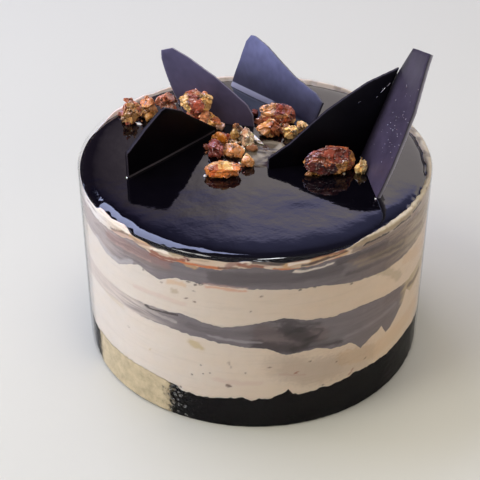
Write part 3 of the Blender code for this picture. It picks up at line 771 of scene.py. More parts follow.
def shell_faces(rows, columns, closed):
    """Faces of a thin shell of two grids, the outer one first, with its edges closed."""
    faces = grid_faces(rows, columns, 0, closed)
    inner = rows * columns
    top = inner - columns
    for low, after, high, over in grid_faces(rows, columns, inner, closed):
        faces.append((after, low, over, high))
    for column in range(columns if closed else columns - 1):
        after = (column + 1) % columns
        faces.append((inner + column, inner + after, after, column))
        faces.append((top + column, top + after, inner + top + after, inner + top + column))
    if not closed:
        for low in range(0, top, columns):
            last = low + columns - 1
            faces.append((low, low + columns, inner + low + columns, inner + low))
            faces.append((inner + last, inner + last + columns, last + columns, last))
    return faces


def turned(rings, name, finish, tint):
    """A closed turned solid of rings, each (radii, heights) over AZIMUTHS, from the middle of the
    underside, out and up, to the middle of the top. tint gives each point's colour."""
    points = np.concatenate([on_side(AZIMUTHS, radii, heights) for radii, heights in rings])
    faces = grid_faces(len(rings), COLUMNS)
    low = len(points)
    high = low + 1
    last = low - COLUMNS
    middles = [(0.0, 0.0, points[:COLUMNS, 2].mean()), (0.0, 0.0, points[last:, 2].mean())]
    points = np.concatenate([points, np.array(middles)])
    for column in range(COLUMNS):
        after = (column + 1) % COLUMNS
        faces.append((after, column, low))
        faces.append((last + column, last + after, high))
    return make_piece(name, points, faces, finish, tint(points))


def paint(points, base, strokes):
    """Colours at points on the side: the base, then each stroke over it with a wavering edge."""
    sway = field(points, 3.0, (0.30, 0.30, 0.55))
    drift = field(points, 8.0, (0.9, 0.9, 1.4))
    across = np.radians(azimuths_of(points)) * SIDE_RADIUS + 1.4 * sway
    upward = points[:, 2] + 0.45 * sway + 0.22 * drift
    colours = np.array(base, dtype=float)
    for name, strength, half, soft, run in strokes:
        near = np.full(len(points), 1e9)
        for (a0, z0), (a1, z1) in zip(run, run[1:]):
            start = np.array([math.radians(a0) * SIDE_RADIUS, z0])
            end = np.array([math.radians(a1) * SIDE_RADIUS, z1])
            step = end - start
            share = ((across - start[0]) * step[0] + (upward - start[1]) * step[1]) / step.dot(step)
            share = np.clip(share, 0.0, 1.0)
            gap = np.hypot(across - start[0] - share * step[0], upward - start[1] - share * step[1])
            near = np.minimum(near, gap)
        cover = strength * (1.0 - smooth_step(half, half + soft, near * (1.0 + 0.35 * drift)))
        lay_over(colours, linear(PALETTE[name]), cover)
    return colours


def blend_colours(first, second, share):
    """Linear colours between two colours of 0 to 255, one for each share."""
    return linear(first) + (linear(second) - linear(first)) * np.asarray(share)[:, None]


def edge_of(points, seed, fine):
    """A boundary over AZIMUTHS with its own small unevenness."""
    small = waver(AZIMUTHS, seed, 160, fine)
    return height_at(points, AZIMUTHS) + small + waver(AZIMUTHS, seed + 1, 420, fine)


def calm(edge, radius):
    """A boundary further in, where it is nearer to its mean height."""
    share = (radius / SIDE_RADIUS) ** 2
    return edge.mean() + (edge - edge.mean()) * share


def bottom_rings(floor):
    """The rings of a layer's underside, from the middle out."""
    return [(radius, calm(floor, radius)) for radius in (INNER_RADIUS, NEAR_RADIUS)]


def build_layer(name, floor, top, finish, tint, press=0.0):
    """One layer right through the cake, with a fine side between two boundaries."""
    rows = int(math.ceil((top - floor).max() / ROW_HEIGHT)) + 1
    rings = bottom_rings(floor)
    for share in np.linspace(0.0, 1.0, rows):
        heights = floor + (top - floor) * share
        radii = np.full(COLUMNS, SIDE_RADIUS)
        if press:
            place = on_side(AZIMUTHS, radii, heights)
            radii = radii - press * (0.5 + 0.5 * field(place, 21.0, (0.5, 0.5, 0.5)))
            radii = radii - 0.5 * press * np.abs(field(place, 22.0, (1.4, 1.4, 1.4)))
        rings.append((radii, heights))
    rings += bottom_rings(top)[::-1]
    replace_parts(turned(rings, name, finish, tint), name)


def cream_tint(strokes):
    """Pale cream, warmer towards the right, with strokes over it."""
    def tint(points):
        cloud = 0.5 + 0.5 * field(points, 31.0, (0.05, 0.05, 0.22))
        to_right = round_step(-60.0, 60.0, azimuths_of(points))
        warm = np.clip(to_right * 0.75 + 0.18 * cloud, 0.0, 1.0)
        base = blend_colours(PALETTE["cream"], PALETTE["warm_cream"], warm)
        streak = field(points, 33.0, (0.06, 0.06, 1.1))
        base *= (1.0 - 0.05 * smooth_step(0.15, 0.6, streak))[:, None]
        return paint(points, base, strokes + speck_strokes())

    return tint


def mousse_tint(strokes, smeared, smear_left, smear_right, right_taupe):
    """Grey mousse, smeared over with cream as far as (azimuth, share) in smeared says."""
    def tint(points):
        azimuths = azimuths_of(points)
        # Towards the right the grey turns taupe, by the share given
        to_right = right_taupe * round_step(20.0, 55.0, azimuths)
        base = blend_colours(PALETTE["grey"], PALETTE["taupe"], to_right)
        streak = field(points, 41.0, (0.05, 0.05, 0.9))
        base *= (1.0 + 0.16 * streak)[:, None]
        cloud = field(points, 43.0, (0.10, 0.10, 0.30))
        base *= (1.0 + 0.10 * cloud)[:, None]
        drawn = points + np.outer(1.5 * cloud, (0.0, 0.0, 1.0))
        fine = field(drawn, 45.0, (0.06, 0.06, 1.5)) + 0.6 * field(drawn, 47.0, (0.05, 0.05, 0.6))
        share = height_at(smeared, azimuths)
        share = np.clip(share + 1.1 * fine * share * (1.0 - share) * 2.0, 0.0, 1.0)
        over = blend_colours(smear_left, smear_right, round_step(0.0, 40.0, azimuths))
        lay_over(base, over, share)
        return paint(points, base, strokes + speck_strokes())

    return tint


def speck_strokes():
    """The specks as very short strokes."""
    made = []
    for colour, radius, azimuth, height in SPECKS:
        run = [(azimuth - 0.1, height), (azimuth + 0.1, height)]
        made.append((colour, 0.8, 0.6 * radius, 0.3, run))
    return made


def sponge_tint(points):
    """Dark crumb of two tones."""
    crumb = field(points, 51.0, (0.8, 0.8, 0.8))
    return blend_colours((6, 5, 9), (27, 18, 19), smooth_step(0.15, 0.65, crumb))


def marbled_tint(points):
    """Cream marbled with glaze, as streaks drawn out round the cake."""
    azimuths = azimuths_of(points)
    bend = field(points, 61.0, (0.09, 0.09, 0.3))
    drawn = points.copy()
    drawn[:, 2] += 1.6 * bend
    streak = field(drawn, 63.0, (0.07, 0.07, 0.75))
    other = field(drawn, 67.0, (0.10, 0.10, 1.2))
    base = blend_colours((232, 214, 196), (206, 178, 148), 0.5 + 0.5 * bend)
    base *= (1.0 - 0.34 * round_step(26.0, 46.0, azimuths))[:, None]
    pale = 1.0 - round_step(-60.0, -44.0, azimuths)
    lay_over(base, linear((232, 228, 226)), 0.8 * pale)
    dark = smooth_step(0.18, 0.42, streak) * (1.0 - 0.6 * round_step(-62.0, -50.0, azimuths))
    lay_over(base, linear(PALETTE["brown"]), 0.75 * dark)
    red = smooth_step(0.22, 0.5, other) * (1.0 - 0.7 * pale)
    lay_over(base, linear(PALETTE["pink_brown"]), 0.6 * red)
    lip = smooth_step(85.6, 86.3, points[:, 2])
    tone = blend_colours((244, 222, 206), (196, 182, 150), round_step(-30.0, 20.0, azimuths))
    gap = smooth_step(0.22, 0.40, field(points, 69.0, (0.22, 0.22, 0.2)))
    lay_over(tone, linear(PALETTE["dark"]), 0.6 * gap * round_step(20.0, 40.0, azimuths))
    lay_over(base, tone, 0.9 * lip)
    return paint(points, base, TOP_STROKES)


def glaze_edge():
    """Radius of the glaze over AZIMUTHS, drawn in where the cream lip stands beside it."""
    lip = np.clip(height_at(CREAM_LIP, AZIMUTHS), 0.0, 1.0)
    uneven = 1.0 + waver(AZIMUTHS, 71, 60, 0.35) + waver(AZIMUTHS, 73, 200, 0.3)
    return SIDE_RADIUS - 0.05 - LIP_WIDTH * lip * np.clip(uneven, 0.4, 1.5)


def build_top(marbled, glaze, floor, seat):
    """The marbled cream with its lip, and the glaze that lies in it."""
    lip = smooth_step(0.05, 0.5, height_at(CREAM_LIP, AZIMUTHS))
    rim = glaze_edge()
    top = seat + (LIP_TOP - seat + waver(AZIMUTHS, 75, 120, 0.3)) * lip
    rings = bottom_rings(floor)
    for share in np.linspace(0.0, 1.0, 14):
        rings.append((SIDE_RADIUS, floor + (top - floor) * share))
    rings += [
        (0.5 * (SIDE_RADIUS + rim), top + 0.12 * lip),
        (rim + 0.03, top - 0.1 * lip),
        (rim + 0.01, seat),
        (rim - 3.0, GLAZE_FLOOR - 0.1),
        (INNER_RADIUS, GLAZE_FLOOR - 0.1),
    ]
    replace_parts(turned(rings, "marbled_top", marbled, marbled_tint), "cream_top")

    calm_rim = SIDE_RADIUS - LIP_WIDTH * np.clip(height_at(CREAM_LIP, AZIMUTHS), 0.0, 1.0)
    depth = waver(AZIMUTHS, 77, 14, 0.3)
    uneven = waver(AZIMUTHS, 79, 44, 0.26) + waver(AZIMUTHS, 81, 130, 0.14)
    ragged = 1.0 + uneven * (1.0 - round_step(-18.0, -6.0, AZIMUTHS))
    rings = [(INNER_RADIUS, GLAZE_FLOOR), (rim - 3.0, GLAZE_FLOOR), (rim, seat)]
    for inward, drop in RIM_PROFILE:
        edge = rim + (calm_rim - rim) * smooth_step(0.0, RIM_CALMS, inward)
        height = np.maximum(GLAZE_TOP - drop * ragged, seat + 0.05)
        rings.append((edge - inward - 0.3 * inward * depth, height))
    for radius in np.arange(58.0, 1.0, -2.0):
        rings.append((radius, GLAZE_TOP))
    piece = turned(rings, "glaze_mirror", glaze, glaze_tint)
    for vert in piece.data.vertices:
        place = vert.co / MM
        if place.z > GLAZE_TOP - 0.2:
            swell = noise.noise(Vector((place.x * 0.045, place.y * 0.06, 3.1)))
            swell += 0.5 * noise.noise(Vector((place.x * 0.11, place.y * 0.13, 9.4)))
            vert.co.z += 0.06 * swell * min(1.0, (76.0 - place.xy.length) / 6.0) * MM
    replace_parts(piece, "glaze")


def glaze_tint(points):
    """One very dark tone."""
    return np.full((len(points), 3), 0.004)


def build_film(film):
    """The clear collar, with creases where it was pressed at the left."""
    azimuths = np.arange(FILM_COLUMNS) * 360.0 / FILM_COLUMNS - 180.0
    heights = np.concatenate([[FILM_LOW], np.arange(2.0, FILM_TOP - 1.0, FILM_ROW), [FILM_TOP]])
    out = on_side(azimuths, 1.0, 0.0)
    points = []
    for inward in (0.0, FILM_THICKNESS):
        for height in heights:
            side = on_side(azimuths, FILM_RADIUS - inward, height)
            raised = paint(side, np.zeros((FILM_COLUMNS, 3)), CREASES)[:, :1]
            points.append(side - out * CREASE_DEPTH * raised)
    faces = shell_faces(len(heights), FILM_COLUMNS, True)
    points = np.concatenate(points)
    piece = make_piece("clear_collar", points, faces, film, sharp=35.0)
    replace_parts(piece, "film_collar")


def build_film_end(film):
    """The outer end of the film, which laps over the start of it at the left."""
    azimuths = np.linspace(FILM_END_START, FILM_END_STOP, FILM_END_COLUMNS)
    bulge = np.sin(np.linspace(0.0, np.pi, FILM_END_COLUMNS))
    radii = FILM_RADIUS + FILM_END_BULGE * bulge + FILM_END_GAP
    points = []
    for inward in (0.0, FILM_END_THICKNESS):
        for height in np.linspace(FILM_LOW, FILM_TOP, FILM_END_ROWS):
            points.append(on_side(azimuths, radii - inward, height))
    faces = shell_faces(FILM_END_ROWS, FILM_END_COLUMNS, False)
    points = np.concatenate(points)
    make_piece("collar_overlap", points, faces, film, sharp=35.0)


def build_fog():
    """The milky, wet patch low on the left of the film."""
    azimuths = np.linspace(-68.0, -23.0, FOG_COLUMNS)
    heights = np.linspace(0.6, 19.0, FOG_ROWS)
    azimuths, heights = [grid.ravel() for grid in np.meshgrid(azimuths, heights)]
    points = on_side(azimuths, SIDE_RADIUS + FOG_GAP, heights)
    ragged = field(points, 81.0, (0.5, 0.5, 0.5))
    fine = field(points, 83.0, (1.7, 1.7, 1.7))
    top = height_at(FOG_TOP, azimuths)
    cover = 1.0 - smooth_step(-0.8, 0.5, heights - top + 0.7 * ragged)
    cover *= smooth_step(-66.0, -62.0, azimuths + 1.5 * ragged)
    cover *= 1.0 - smooth_step(-29.5, -26.5, azimuths + 1.8 * ragged + fine)
    tint = np.repeat(cover[:, None], 3, axis=1)
    veil = veil_material("milky_patch", (216, 197, 160), 0.95)
    faces = grid_faces(FOG_ROWS, FOG_COLUMNS, 0, False)
    make_piece("milky_patch", points, faces, veil, tint)


def build_drops():
    """Drops of condensation on the film beside the milky patch."""
    draw = random.Random(5)
    places = list(SINGLE_DROPS)
    for _ in range(DROP_COUNT):
        places.append((draw.gauss(-27.5, 2.4), draw.uniform(1.5, 16.5), draw.uniform(0.18, 0.62)))
    points, faces = ball(2)
    rows = []
    joined = []
    for azimuth, height, radius in places:
        turn = Matrix.Rotation(math.radians(azimuth), 3, "Z")
        middle = turn @ Vector((0.0, -SIDE_RADIUS - 0.2, height))
        joined += moved_faces(faces, len(rows))
        for co in points:
            size = Vector((2.0 * radius, DROP_DEPTH, 2.0 * radius * draw.uniform(0.97, 1.03)))
            rows.append(tuple(turn @ (co * size) + middle))
    make_piece("film_drops", rows, joined, water_material())


def foot_of(spec):
    """The foot of a shard's outline, where it stands on the glaze."""
    return Vector((*spec["foot"], STAND_HEIGHT))


def shard_axes(spec):
    """Unit vectors of a shard: along its foot line, up it, and out of the face seen in front."""
    turn = math.radians(spec["heading"])
    along = Vector((math.cos(turn), math.sin(turn), 0.0))
    front = Vector((along.y, -along.x, 0.0))
    if front.y > 0.0:
        front = -front
    lean = math.radians(spec["lean"])
    up = Vector((0.0, 0.0, math.cos(lean))) - front * math.sin(lean)
    out = front * math.cos(lean) + Vector((0.0, 0.0, math.sin(lean)))
    return along, up, out


def clip_outline(outline, inside):
    """Keeps the part of a polygon where inside(point) is not negative."""
    kept = []
    for (a0, u0), (a1, u1) in zip(outline, outline[1:] + outline[:1]):
        first = inside(a0, u0)
        second = inside(a1, u1)
        if first >= 0.0:
            kept.append((a0, u0))
        if (first < 0.0) != (second < 0.0):
            share = first / (first - second)
            kept.append((a0 + (a1 - a0) * share, u0 + (u1 - u0) * share))
    return kept


def dense_outline(outline, step, seed, jag):
    """The outline in short steps with a slightly uneven broken edge, anticlockwise."""
    area = sum(a0 * u1 - a1 * u0 for (a0, u0), (a1, u1) in zip(outline, outline[1:] + outline[:1]))
    if area < 0.0:
        outline = outline[::-1]
    made = []
    for (a0, u0), (a1, u1) in zip(outline, outline[1:] + outline[:1]):
        count = max(1, int(math.hypot(a1 - a0, u1 - u0) / step))
        for index in range(count):
            share = index / count
            made.append(Vector((a0 + (a1 - a0) * share, u0 + (u1 - u0) * share)))
    rough = []
    for index, place in enumerate(made):
        side = (made[(index + 1) % len(made)] - made[index - 1]).normalized()
        out = Vector((side.y, -side.x))
        shift = noise.noise(Vector((place.x * 0.5, place.y * 0.5, seed)))
        shift += 0.7 * noise.noise(Vector((place.x * 1.6, place.y * 1.6, seed + 4.0)))
        rough.append((place, out, shift * jag))
    return [(place + out * shift, out) for place, out, shift in rough]


def shard_border(name, spec, seed):
    """The worn border of a shard as (point, outward normal), cut back where it meets another."""
    outline = [(float(a), float(u) if u > 0.0 else -SHARD_SINK) for a, u in spec["outline"]]
    if name == LEANING_SHARD:
        along, up, _ = shard_axes(spec)
        met = SHARDS[SHARD_IT_MEETS]
        facing = shard_axes(met)[2]

        def clear_of(a, u):
            return (foot_of(spec) + along * a + up * u - foot_of(met)).dot(facing) - SHARD_GAP

        outline = clip_outline(outline, clear_of)
    return dense_outline(outline, SHARD_EDGE_STEP, seed, 0.10)


def face_points(inset, low, high, foot_height):
    """The points of a shard's face: its border, and a grid inside it that is finer along a
    painted highlight at the foot."""
    made = list(inset)
    bottom = low.y
    if foot_height is not None:
        bottom = foot_height + 0.35
        for column in np.arange(low.x + SHARD_EDGE_STEP, high.x, SHARD_EDGE_STEP):
            for row in (foot_height, bottom):
                place = Vector((float(column), row))
                if inside_polygon(place, inset):
                    made.append(place)
    for row in np.arange(bottom + SHARD_STEP, high.y, SHARD_STEP):
        for column in np.arange(low.x + SHARD_STEP, high.x, SHARD_STEP):
            place = Vector((float(column), float(row)))
            gap = min((place - other).length for other in inset)
            if gap > 0.5 * SHARD_STEP and inside_polygon(place, inset):
                made.append(place)
    return made


def shard_tint(name, spec, seed, rows, flat, high, side):
    """Colours of a shard: its rows of points, where each lies on the outline's plane, the
    outline's highest point, and the first index of the front and of the back of its rim."""
    ahead, raised = np.array(flat).T
    # Painted light: the face turns from its colour below to its colour above, as the light falls on it
    tint = blend_colours(spec["low"], spec["high"], smooth_step(0.1, 0.9, raised / high))
    speckle = field(rows, seed, (1.3, 1.3, 1.3))
    cloud = field(rows, seed + 2.0, (0.11, 0.11, 0.16))
    tint *= (1.0 + 0.20 * speckle + 0.20 * cloud)[:, None]
    # Painted shade: the face of the shard that the leaning one meets darkens towards it
    if name == SHARD_IT_MEETS:
        other = SHARDS[LEANING_SHARD]
        gap = (rows - np.array(foot_of(other))) @ np.array(shard_axes(other)[2])
        tint *= (0.12 + 0.88 * smooth_step(-1.0, 9.0, gap))[:, None]
    # Painted highlight: a pale strip along the foot, where the edge catches the light
    if "broken_foot" in spec:
        colour, wide, reach = spec["broken_foot"]
        strip = 1.0 - smooth_step(wide, wide + 0.3, raised)
        strip *= 1.0 - smooth_step(reach, reach + 3.0, ahead)
        lay_over(tint, linear(colour), strip)
    # The rim colours: a pale one is a painted highlight on the edge
    front, back = side
    tint[front:back] = tint[front:back] * 0.2 + linear(spec["rim"]) * 0.8
    tint[back:] = tint[back:] * 0.2 + linear(spec.get("back_rim", DARK_SIDE)) * 0.8
    return tint


def build_shard(name, spec, finish, seed):
    """A thin plate with a worn, uneven edge, a slight bow and its foot sunk in the glaze."""
    along, up, out = shard_axes(spec)
    foot = foot_of(spec)
    border = shard_border(name, spec, seed)
    count = len(border)
    outer = [place for place, _ in border]
    middle = sum(outer, Vector((0.0, 0.0))) / count

    def place_at(a, u, behind):
        bow = spec["bow"] * (1.0 - ((a - middle.x) / 26.0) ** 2 - ((u - middle.y) / 30.0) ** 2)
        bow += 0.16 * noise.noise(Vector((a * 0.09, u * 0.09, seed)))
        return foot + along * a + up * u + out * (bow - behind)

    low = Vector((min(p.x for p in outer), min(p.y for p in outer)))
    high = Vector((max(p.x for p in outer), max(p.y for p in outer)))
    inset = [place - normal * SHARD_WEAR for place, normal in border]
    inner = face_points(inset, low, high, spec.get("broken_foot", (None, None))[1])
    edges = [(index, (index + 1) % count) for index in range(count)]
    made = delaunay_2d_cdt(inner, edges, [], 1, 1e-5)
    caps = [tuple(face) for face in made[2]]
    places = [Vector(place) for place in made[0]]
    size = len(places)
    order = {}
    for index, origins in enumerate(made[3]):
        for origin in origins:
            order[origin] = index
    points = [place_at(p.x, p.y, 0.0) for p in places]
    points += [place_at(p.x, p.y, SHARD_THICKNESS) for p in places]
    faces = caps + [tuple(size + index for index in face[::-1]) for face in caps]
    ring = len(points)
    for depth in (SHARD_WEAR * 0.7, SHARD_THICKNESS - SHARD_WEAR * 0.7):
        points += [place_at(p.x, p.y, depth) for p in outer]
    for index in range(count):
        after = (index + 1) % count
        front, front_after = order[index], order[after]
        faces.append((front_after, front, ring + index, ring + after))
        faces.append((ring + after, ring + index, ring + count + index, ring + count + after))
        faces.append((ring + count + after, ring + count + index, size + front, size + front_after))
    rows = np.array([tuple(point) for point in points])
    flat = [tuple(place) for place in places * 2 + outer * 2]
    tint = shard_tint(name, spec, seed, rows, flat, high.y, (ring, ring + count))
    piece = make_piece("dark_" + name, rows, faces, finish, tint, sharp=50.0)
    mesh = bmesh.new()
    mesh.from_mesh(piece.data)
    bmesh.ops.recalc_face_normals(mesh, faces=mesh.faces)
    mesh.to_mesh(piece.data)
    mesh.free()
    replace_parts(piece, name)


def inside_polygon(place, polygon):
    """Whether a point lies in a polygon, by the crossings of a ray."""
    inside = False
    for first, second in zip(polygon, polygon[1:] + polygon[:1]):
        if (first.y > place.y) != (second.y > place.y):
            cross = first.x + (place.y - first.y) / (second.y - first.y) * (second.x - first.x)
            if place.x < cross:
                inside = not inside
    return inside


def ball(subdivisions):
    """Points and faces of a ball of diameter 1."""
    shape = bmesh.new()
    bmesh.ops.create_icosphere(shape, subdivisions=subdivisions, radius=0.5)
    points = [vert.co.copy() for vert in shape.verts]
    faces = [tuple(vert.index for vert in face.verts) for face in shape.faces]
    shape.free()
    return points, faces


def broken_face(place, size, tilting):
    """The broken face that a place in millimetres lies in: how far it stands out, how near its
    edge is, and two random values of its own."""
    distances, middles = noise.voronoi(place / size)
    middle = middles[0]
    first = noise.cell(middle * 13.7)
    second = noise.cell(middle * 17.3 + Vector((5.0, 9.0, 2.0)))
    tilt = Vector((noise.cell(middle * 11.1), noise.cell(middle * 19.9), noise.cell(middle * 23.3)))
    tilt = (tilt - Vector((0.5, 0.5, 0.5))) * tilting
    stands = (place - middle * size).dot(tilt)
    return stands, distances[1] - distances[0], first, second


def pecan_form(spec, seed, draw, shift, large):
    """Points and faces of a unit piece of nut: lumps, grooves, flat chips and facets."""
    _, _, _, rough, chips, groove, _ = spec
    points, faces = ball(6 if large else 5)
    shaped = []
    for co in points:
        lump = noise.noise(co * 2.6 + shift) + 0.5 * noise.noise(co * 6.0 + shift)
        ridge = math.cos(GROOVES * math.atan2(co.z, co.y) + 1.2 * noise.noise(co * 3.0 + shift))
        off_axis = 2.0 * co.yz.length
        wrinkle = abs(noise.noise(co * 9.0 + shift)) + 0.5 * abs(noise.noise(co * 19.0 + shift))
        swell = 1.6 * rough * lump + groove * ridge * off_axis - 0.06 * wrinkle
        shaped.append(co * (1.0 + swell))
    cuts = []
    for _ in range(chips):
        turn = draw.uniform(0.0, 2.0 * math.pi)
        rise = draw.uniform(-0.1, 0.9)
        facing = Vector((math.cos(turn), math.sin(turn), rise)).normalized()
        cuts.append((facing, draw.uniform(0.27, 0.36)))
    extra = random.Random(seed + 100)
    near, far = (0.41, 0.46) if large else (0.36, 0.43)
    for _ in range(FACETS):
        turn = extra.uniform(0.0, 2.0 * math.pi)
        facing = Vector((math.cos(turn), math.sin(turn), extra.uniform(-0.2, 1.4))).normalized()
        cuts.append((facing, extra.uniform(near, far)))
    for facing, distance in cuts:
        for index, co in enumerate(shaped):
            over = co.dot(facing) - distance - 0.020 * noise.noise(co * 7.0 + shift)
            if over > 0.0:
                shaped[index] = co - facing * over
    return shaped, faces


def build_pecan(name, spec, seed, finish):
    """A chopped, candied piece of nut with small broken faces, each in a tone of its own."""
    at, size, heading, _, _, _, kind = spec
    draw = random.Random(seed)
    shift = Vector([draw.uniform(-50.0, 50.0) for _ in range(3)])
    large = max(size) >= LARGE_PECAN
    shaped, faces = pecan_form(spec, seed, draw, shift, large)
    turn = Matrix.Rotation(math.radians(heading), 3, "Z")
    lift = RAISED_PECANS.get(name, -PECAN_SINK * size[2])
    middle = Vector((*at, STAND_HEIGHT + lift + 0.5 * size[2]))
    length, width, height = [side * (1.0 if large else PECAN_GROWTH) for side in size]
    relief = LARGE_RELIEF if large else min(1.0, min(size) / 8.0)
    tones = [linear(tone) for tone in TONES[kind]]
    rows = []
    tint = []
    for co in shaped:
        grown = Vector((co.x * length, co.y * width, co.z * height))
        bent = grown + shift + 0.5 * noise.noise_vector(grown * 0.35 + shift)
        stands, edge, first, _ = broken_face(bent, BROKEN_FACE, 0.34)
        _, _, _, second = broken_face(bent, TONE_PATCH, 0.0)
        grain, _, bright, _ = broken_face(bent, CRYSTAL, 0.4)
        inside = min(1.0, edge / 0.10)
        sugared = smooth_step(-0.15, 0.25, noise.noise(grown * 0.22 + shift * 1.7))
        raised = stands + 0.24 * (first - 0.5) - 0.12 * (1.0 - inside)
        raised += sugared * (grain + 0.16 * (bright - 0.5))
        grown += grown.normalized() * relief * raised
        place = turn @ grown + middle
        place.z = max(place.z, GLAZE_TOP - 0.6)
        rows.append(tuple(place))
        tone = tones[min(int(second * 1.35 * len(tones)), 10) % len(tones)]
        # Painted shade: each broken face darker towards its edges, in the cracks between faces; each
        # face also gets a random brightness of its own
        lit = (0.96 + 0.40 * first) * (0.88 + 0.12 * inside)
        tint.append(tone * CARAMEL_GLOW * lit * (1.0 + 0.6 * sugared * (bright - 0.42)))
    rows = np.array(rows)
    tint = np.array(tint)
    spots = field(rows, seed, (0.55, 0.55, 0.55))
    tint *= (1.0 + 0.22 * spots)[:, None]
    sugar = smooth_step(0.34, 0.5, field(rows, seed + 2.0, (1.6, 1.6, 1.6)))
    lay_over(tint, linear(SUGAR), 0.4 * sugar)
    piece = make_piece("candied_" + name, rows, faces, finish, tint, sharp=26.0)
    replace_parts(piece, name)


def build_bits_and_glints(finish):
    """Small pieces and crumbs of nut and sugar lying among the pecans, and white beads that are painted
    glints.
    """
    draw = random.Random(23)
    entries = list(BITS_AND_GLINTS)
    for (x, y), spread, count in CRUMB_GROUPS:
        for _ in range(count):
            size = draw.uniform(0.7, 1.9)
            at = (draw.gauss(x, spread * 0.6), draw.gauss(y, spread * 0.5))
            shape = (size * draw.uniform(0.8, 1.5), size, size * draw.uniform(0.6, 1.0))
            entries.append((at, shape, draw.uniform(0, 180), draw.choice(CRUMB_TONES)))
    points, faces = ball(3)
    rows = []
    joined = []
    tint = []
    for index, (at, size, heading, colour) in enumerate(entries):
        shift = Vector((index * 3.1, index * 1.7, 2.0))
        turn = Matrix.Rotation(math.radians(heading), 3, "Z")
        facings = []
        for side in range(3):
            across = math.cos(index * 2.4 + side * 2.2)
            deep = math.sin(index * 1.7 + side * 2.2)
            facings.append(Vector((across, deep, 0.5 - 0.4 * side)).normalized())
        joined += moved_faces(faces, len(rows))
        for co in points:
            lump = noise.noise(co * 3.2 + shift) + 0.5 * noise.noise(co * 8.0 + shift)
            grown = co * (1.0 + 0.55 * lump)
            for facing in facings:
                over = grown.dot(facing) - 0.34
                if over > 0.0:
                    grown = grown - facing * over
            place = turn @ Vector((grown.x * size[0], grown.y * size[1], grown.z * size[2]))
            place += Vector((*at, GLAZE_TOP + 0.36 * size[2]))
            rows.append(tuple(place))
            tint.append(linear(colour) * (1.0 + 0.3 * lump))
    make_piece("nut_crumbs_and_glints", rows, joined, finish, np.array(tint), sharp=35.0)


def build_smear(finish):
    """The thin pool of caramel and cream in the middle of the glaze."""
    middle = np.array(POOL_MIDDLE)
    whole = 2.0 * math.pi
    known = []
    for x, y in POOL_BORDER:
        angle = math.atan2(y - middle[1], x - middle[0]) % whole
        known.append((angle, math.hypot(x - middle[0], y - middle[1])))
    angles = np.linspace(0.0, whole, POOL_COLUMNS, endpoint=False)
    at_angles, lengths = zip(*sorted(known))
    reach = np.interp(angles, at_angles, lengths, period=whole)
    rows = []
    for share in np.linspace(0.0, 1.0, POOL_RINGS + 1)[1:]:
        for angle, far in zip(angles, reach):
            across = math.cos(angle)
            deep = math.sin(angle)
            uneven = 1.0 + 0.08 * noise.noise(Vector((across * 2, deep * 2, 1.0)))
            x = middle[0] + across * far * share * uneven
            y = middle[1] + deep * far * share * uneven
            lift = 0.55 * (1.0 - share ** 4)
            lift += 0.25 * noise.noise(Vector((x * 0.35, y * 0.35, 5.0))) * (1.0 - share ** 2)
            rows.append((x, y, GLAZE_TOP - 0.12 + lift))
    faces = [face[::-1] for face in grid_faces(POOL_RINGS, POOL_COLUMNS)]
    for index in range(POOL_COLUMNS):
        faces.append((len(rows), index, (index + 1) % POOL_COLUMNS))
    rows.append((middle[0], middle[1], GLAZE_TOP + 0.5))
    rows = np.array(rows)
    bend = field(rows, 91.0, (0.12, 0.12, 0.0))
    drawn = rows.copy()
    drawn[:, 1] += 4.0 * bend
    streak = field(drawn, 93.0, (0.10, 0.34, 0.0))
    tint = blend_colours((72, 64, 50), (116, 106, 86), 0.5 + 0.5 * bend)
    lay_over(tint, linear((46, 22, 20)), 0.85 * smooth_step(0.0, 0.12, streak))
    lay_over(tint, linear((196, 180, 150)), 0.3 * smooth_step(0.18, 0.4, -streak))
    make_piece("caramel_smear", rows, faces, finish, tint)


def build_dust_and_glints(finish):
    """Fine pale chips on the face of the tallest shard, and painted highlights on the one that leans
    on it, which stand for the lit edge of the tallest shard."""
    draw = random.Random(41)
    points, faces = ball(1)
    rows = []
    joined = []
    tint = []

    def add_bead(place, length, width, depth, colour):
        joined.extend(moved_faces(faces, len(rows)))
        for co in points:
            rows.append(tuple(place + length * co.x + width * co.y + depth * co.z))
            tint.append(linear(colour))

    spec = SHARDS[SHARD_IT_MEETS]
    along, up, out = shard_axes(spec)
    for _ in range(CHIP_COUNT):
        place = foot_of(spec) + along * draw.gauss(17.0, 6.0) + up * draw.gauss(27.0, 8.0)
        size = draw.uniform(0.2, 0.62)
        add_bead(place + out * 0.55, along * size, up * size, out * 0.3, CHIP_COLOUR)
    # Painted highlights: light streaks on the leaning shard for the lit edge of the shard it meets
    spec = SHARDS[LEANING_SHARD]
    along, up, out = shard_axes(spec)
    for start, end, wide, colour in EDGE_GLINTS:
        run = along * (end[0] - start[0]) + up * (end[1] - start[1])
        middle = foot_of(spec) + along * start[0] + up * start[1] + out * 0.30 + 0.5 * run
        side = run.normalized().cross(out)
        add_bead(middle, run, side * wide, out * 0.2, colour)
    make_piece("shard_dust_and_glints", rows, joined, finish, np.array(tint))


def build_floor():
    """The ground, just under the cake."""
    bpy.ops.mesh.primitive_plane_add(size=8.0, location=(0.0, 0.0, -0.0002))
    floor = bpy.context.object
    floor.name = "floor"
    floor.data.materials.append(floor_material())


def area_light(name, place, target, size, power, colour, use):
    """A soft light. With use lights no gloss mirrors it, and with use shows only gloss does."""
    data = bpy.data.lights.new(name, "AREA")
    data.shape = "RECTANGLE"
    data.size, data.size_y = size
    data.energy = power
    data.color = colour
    lamp = add_object(name, data)
    lamp.location = place
    lamp.visible_glossy = use != "lights"
    lamp.visible_diffuse = use != "shows"
    lamp.rotation_mode = "QUATERNION"
    lamp.rotation_quaternion = (Vector(target) - Vector(place)).to_track_quat("-Z", "Y")


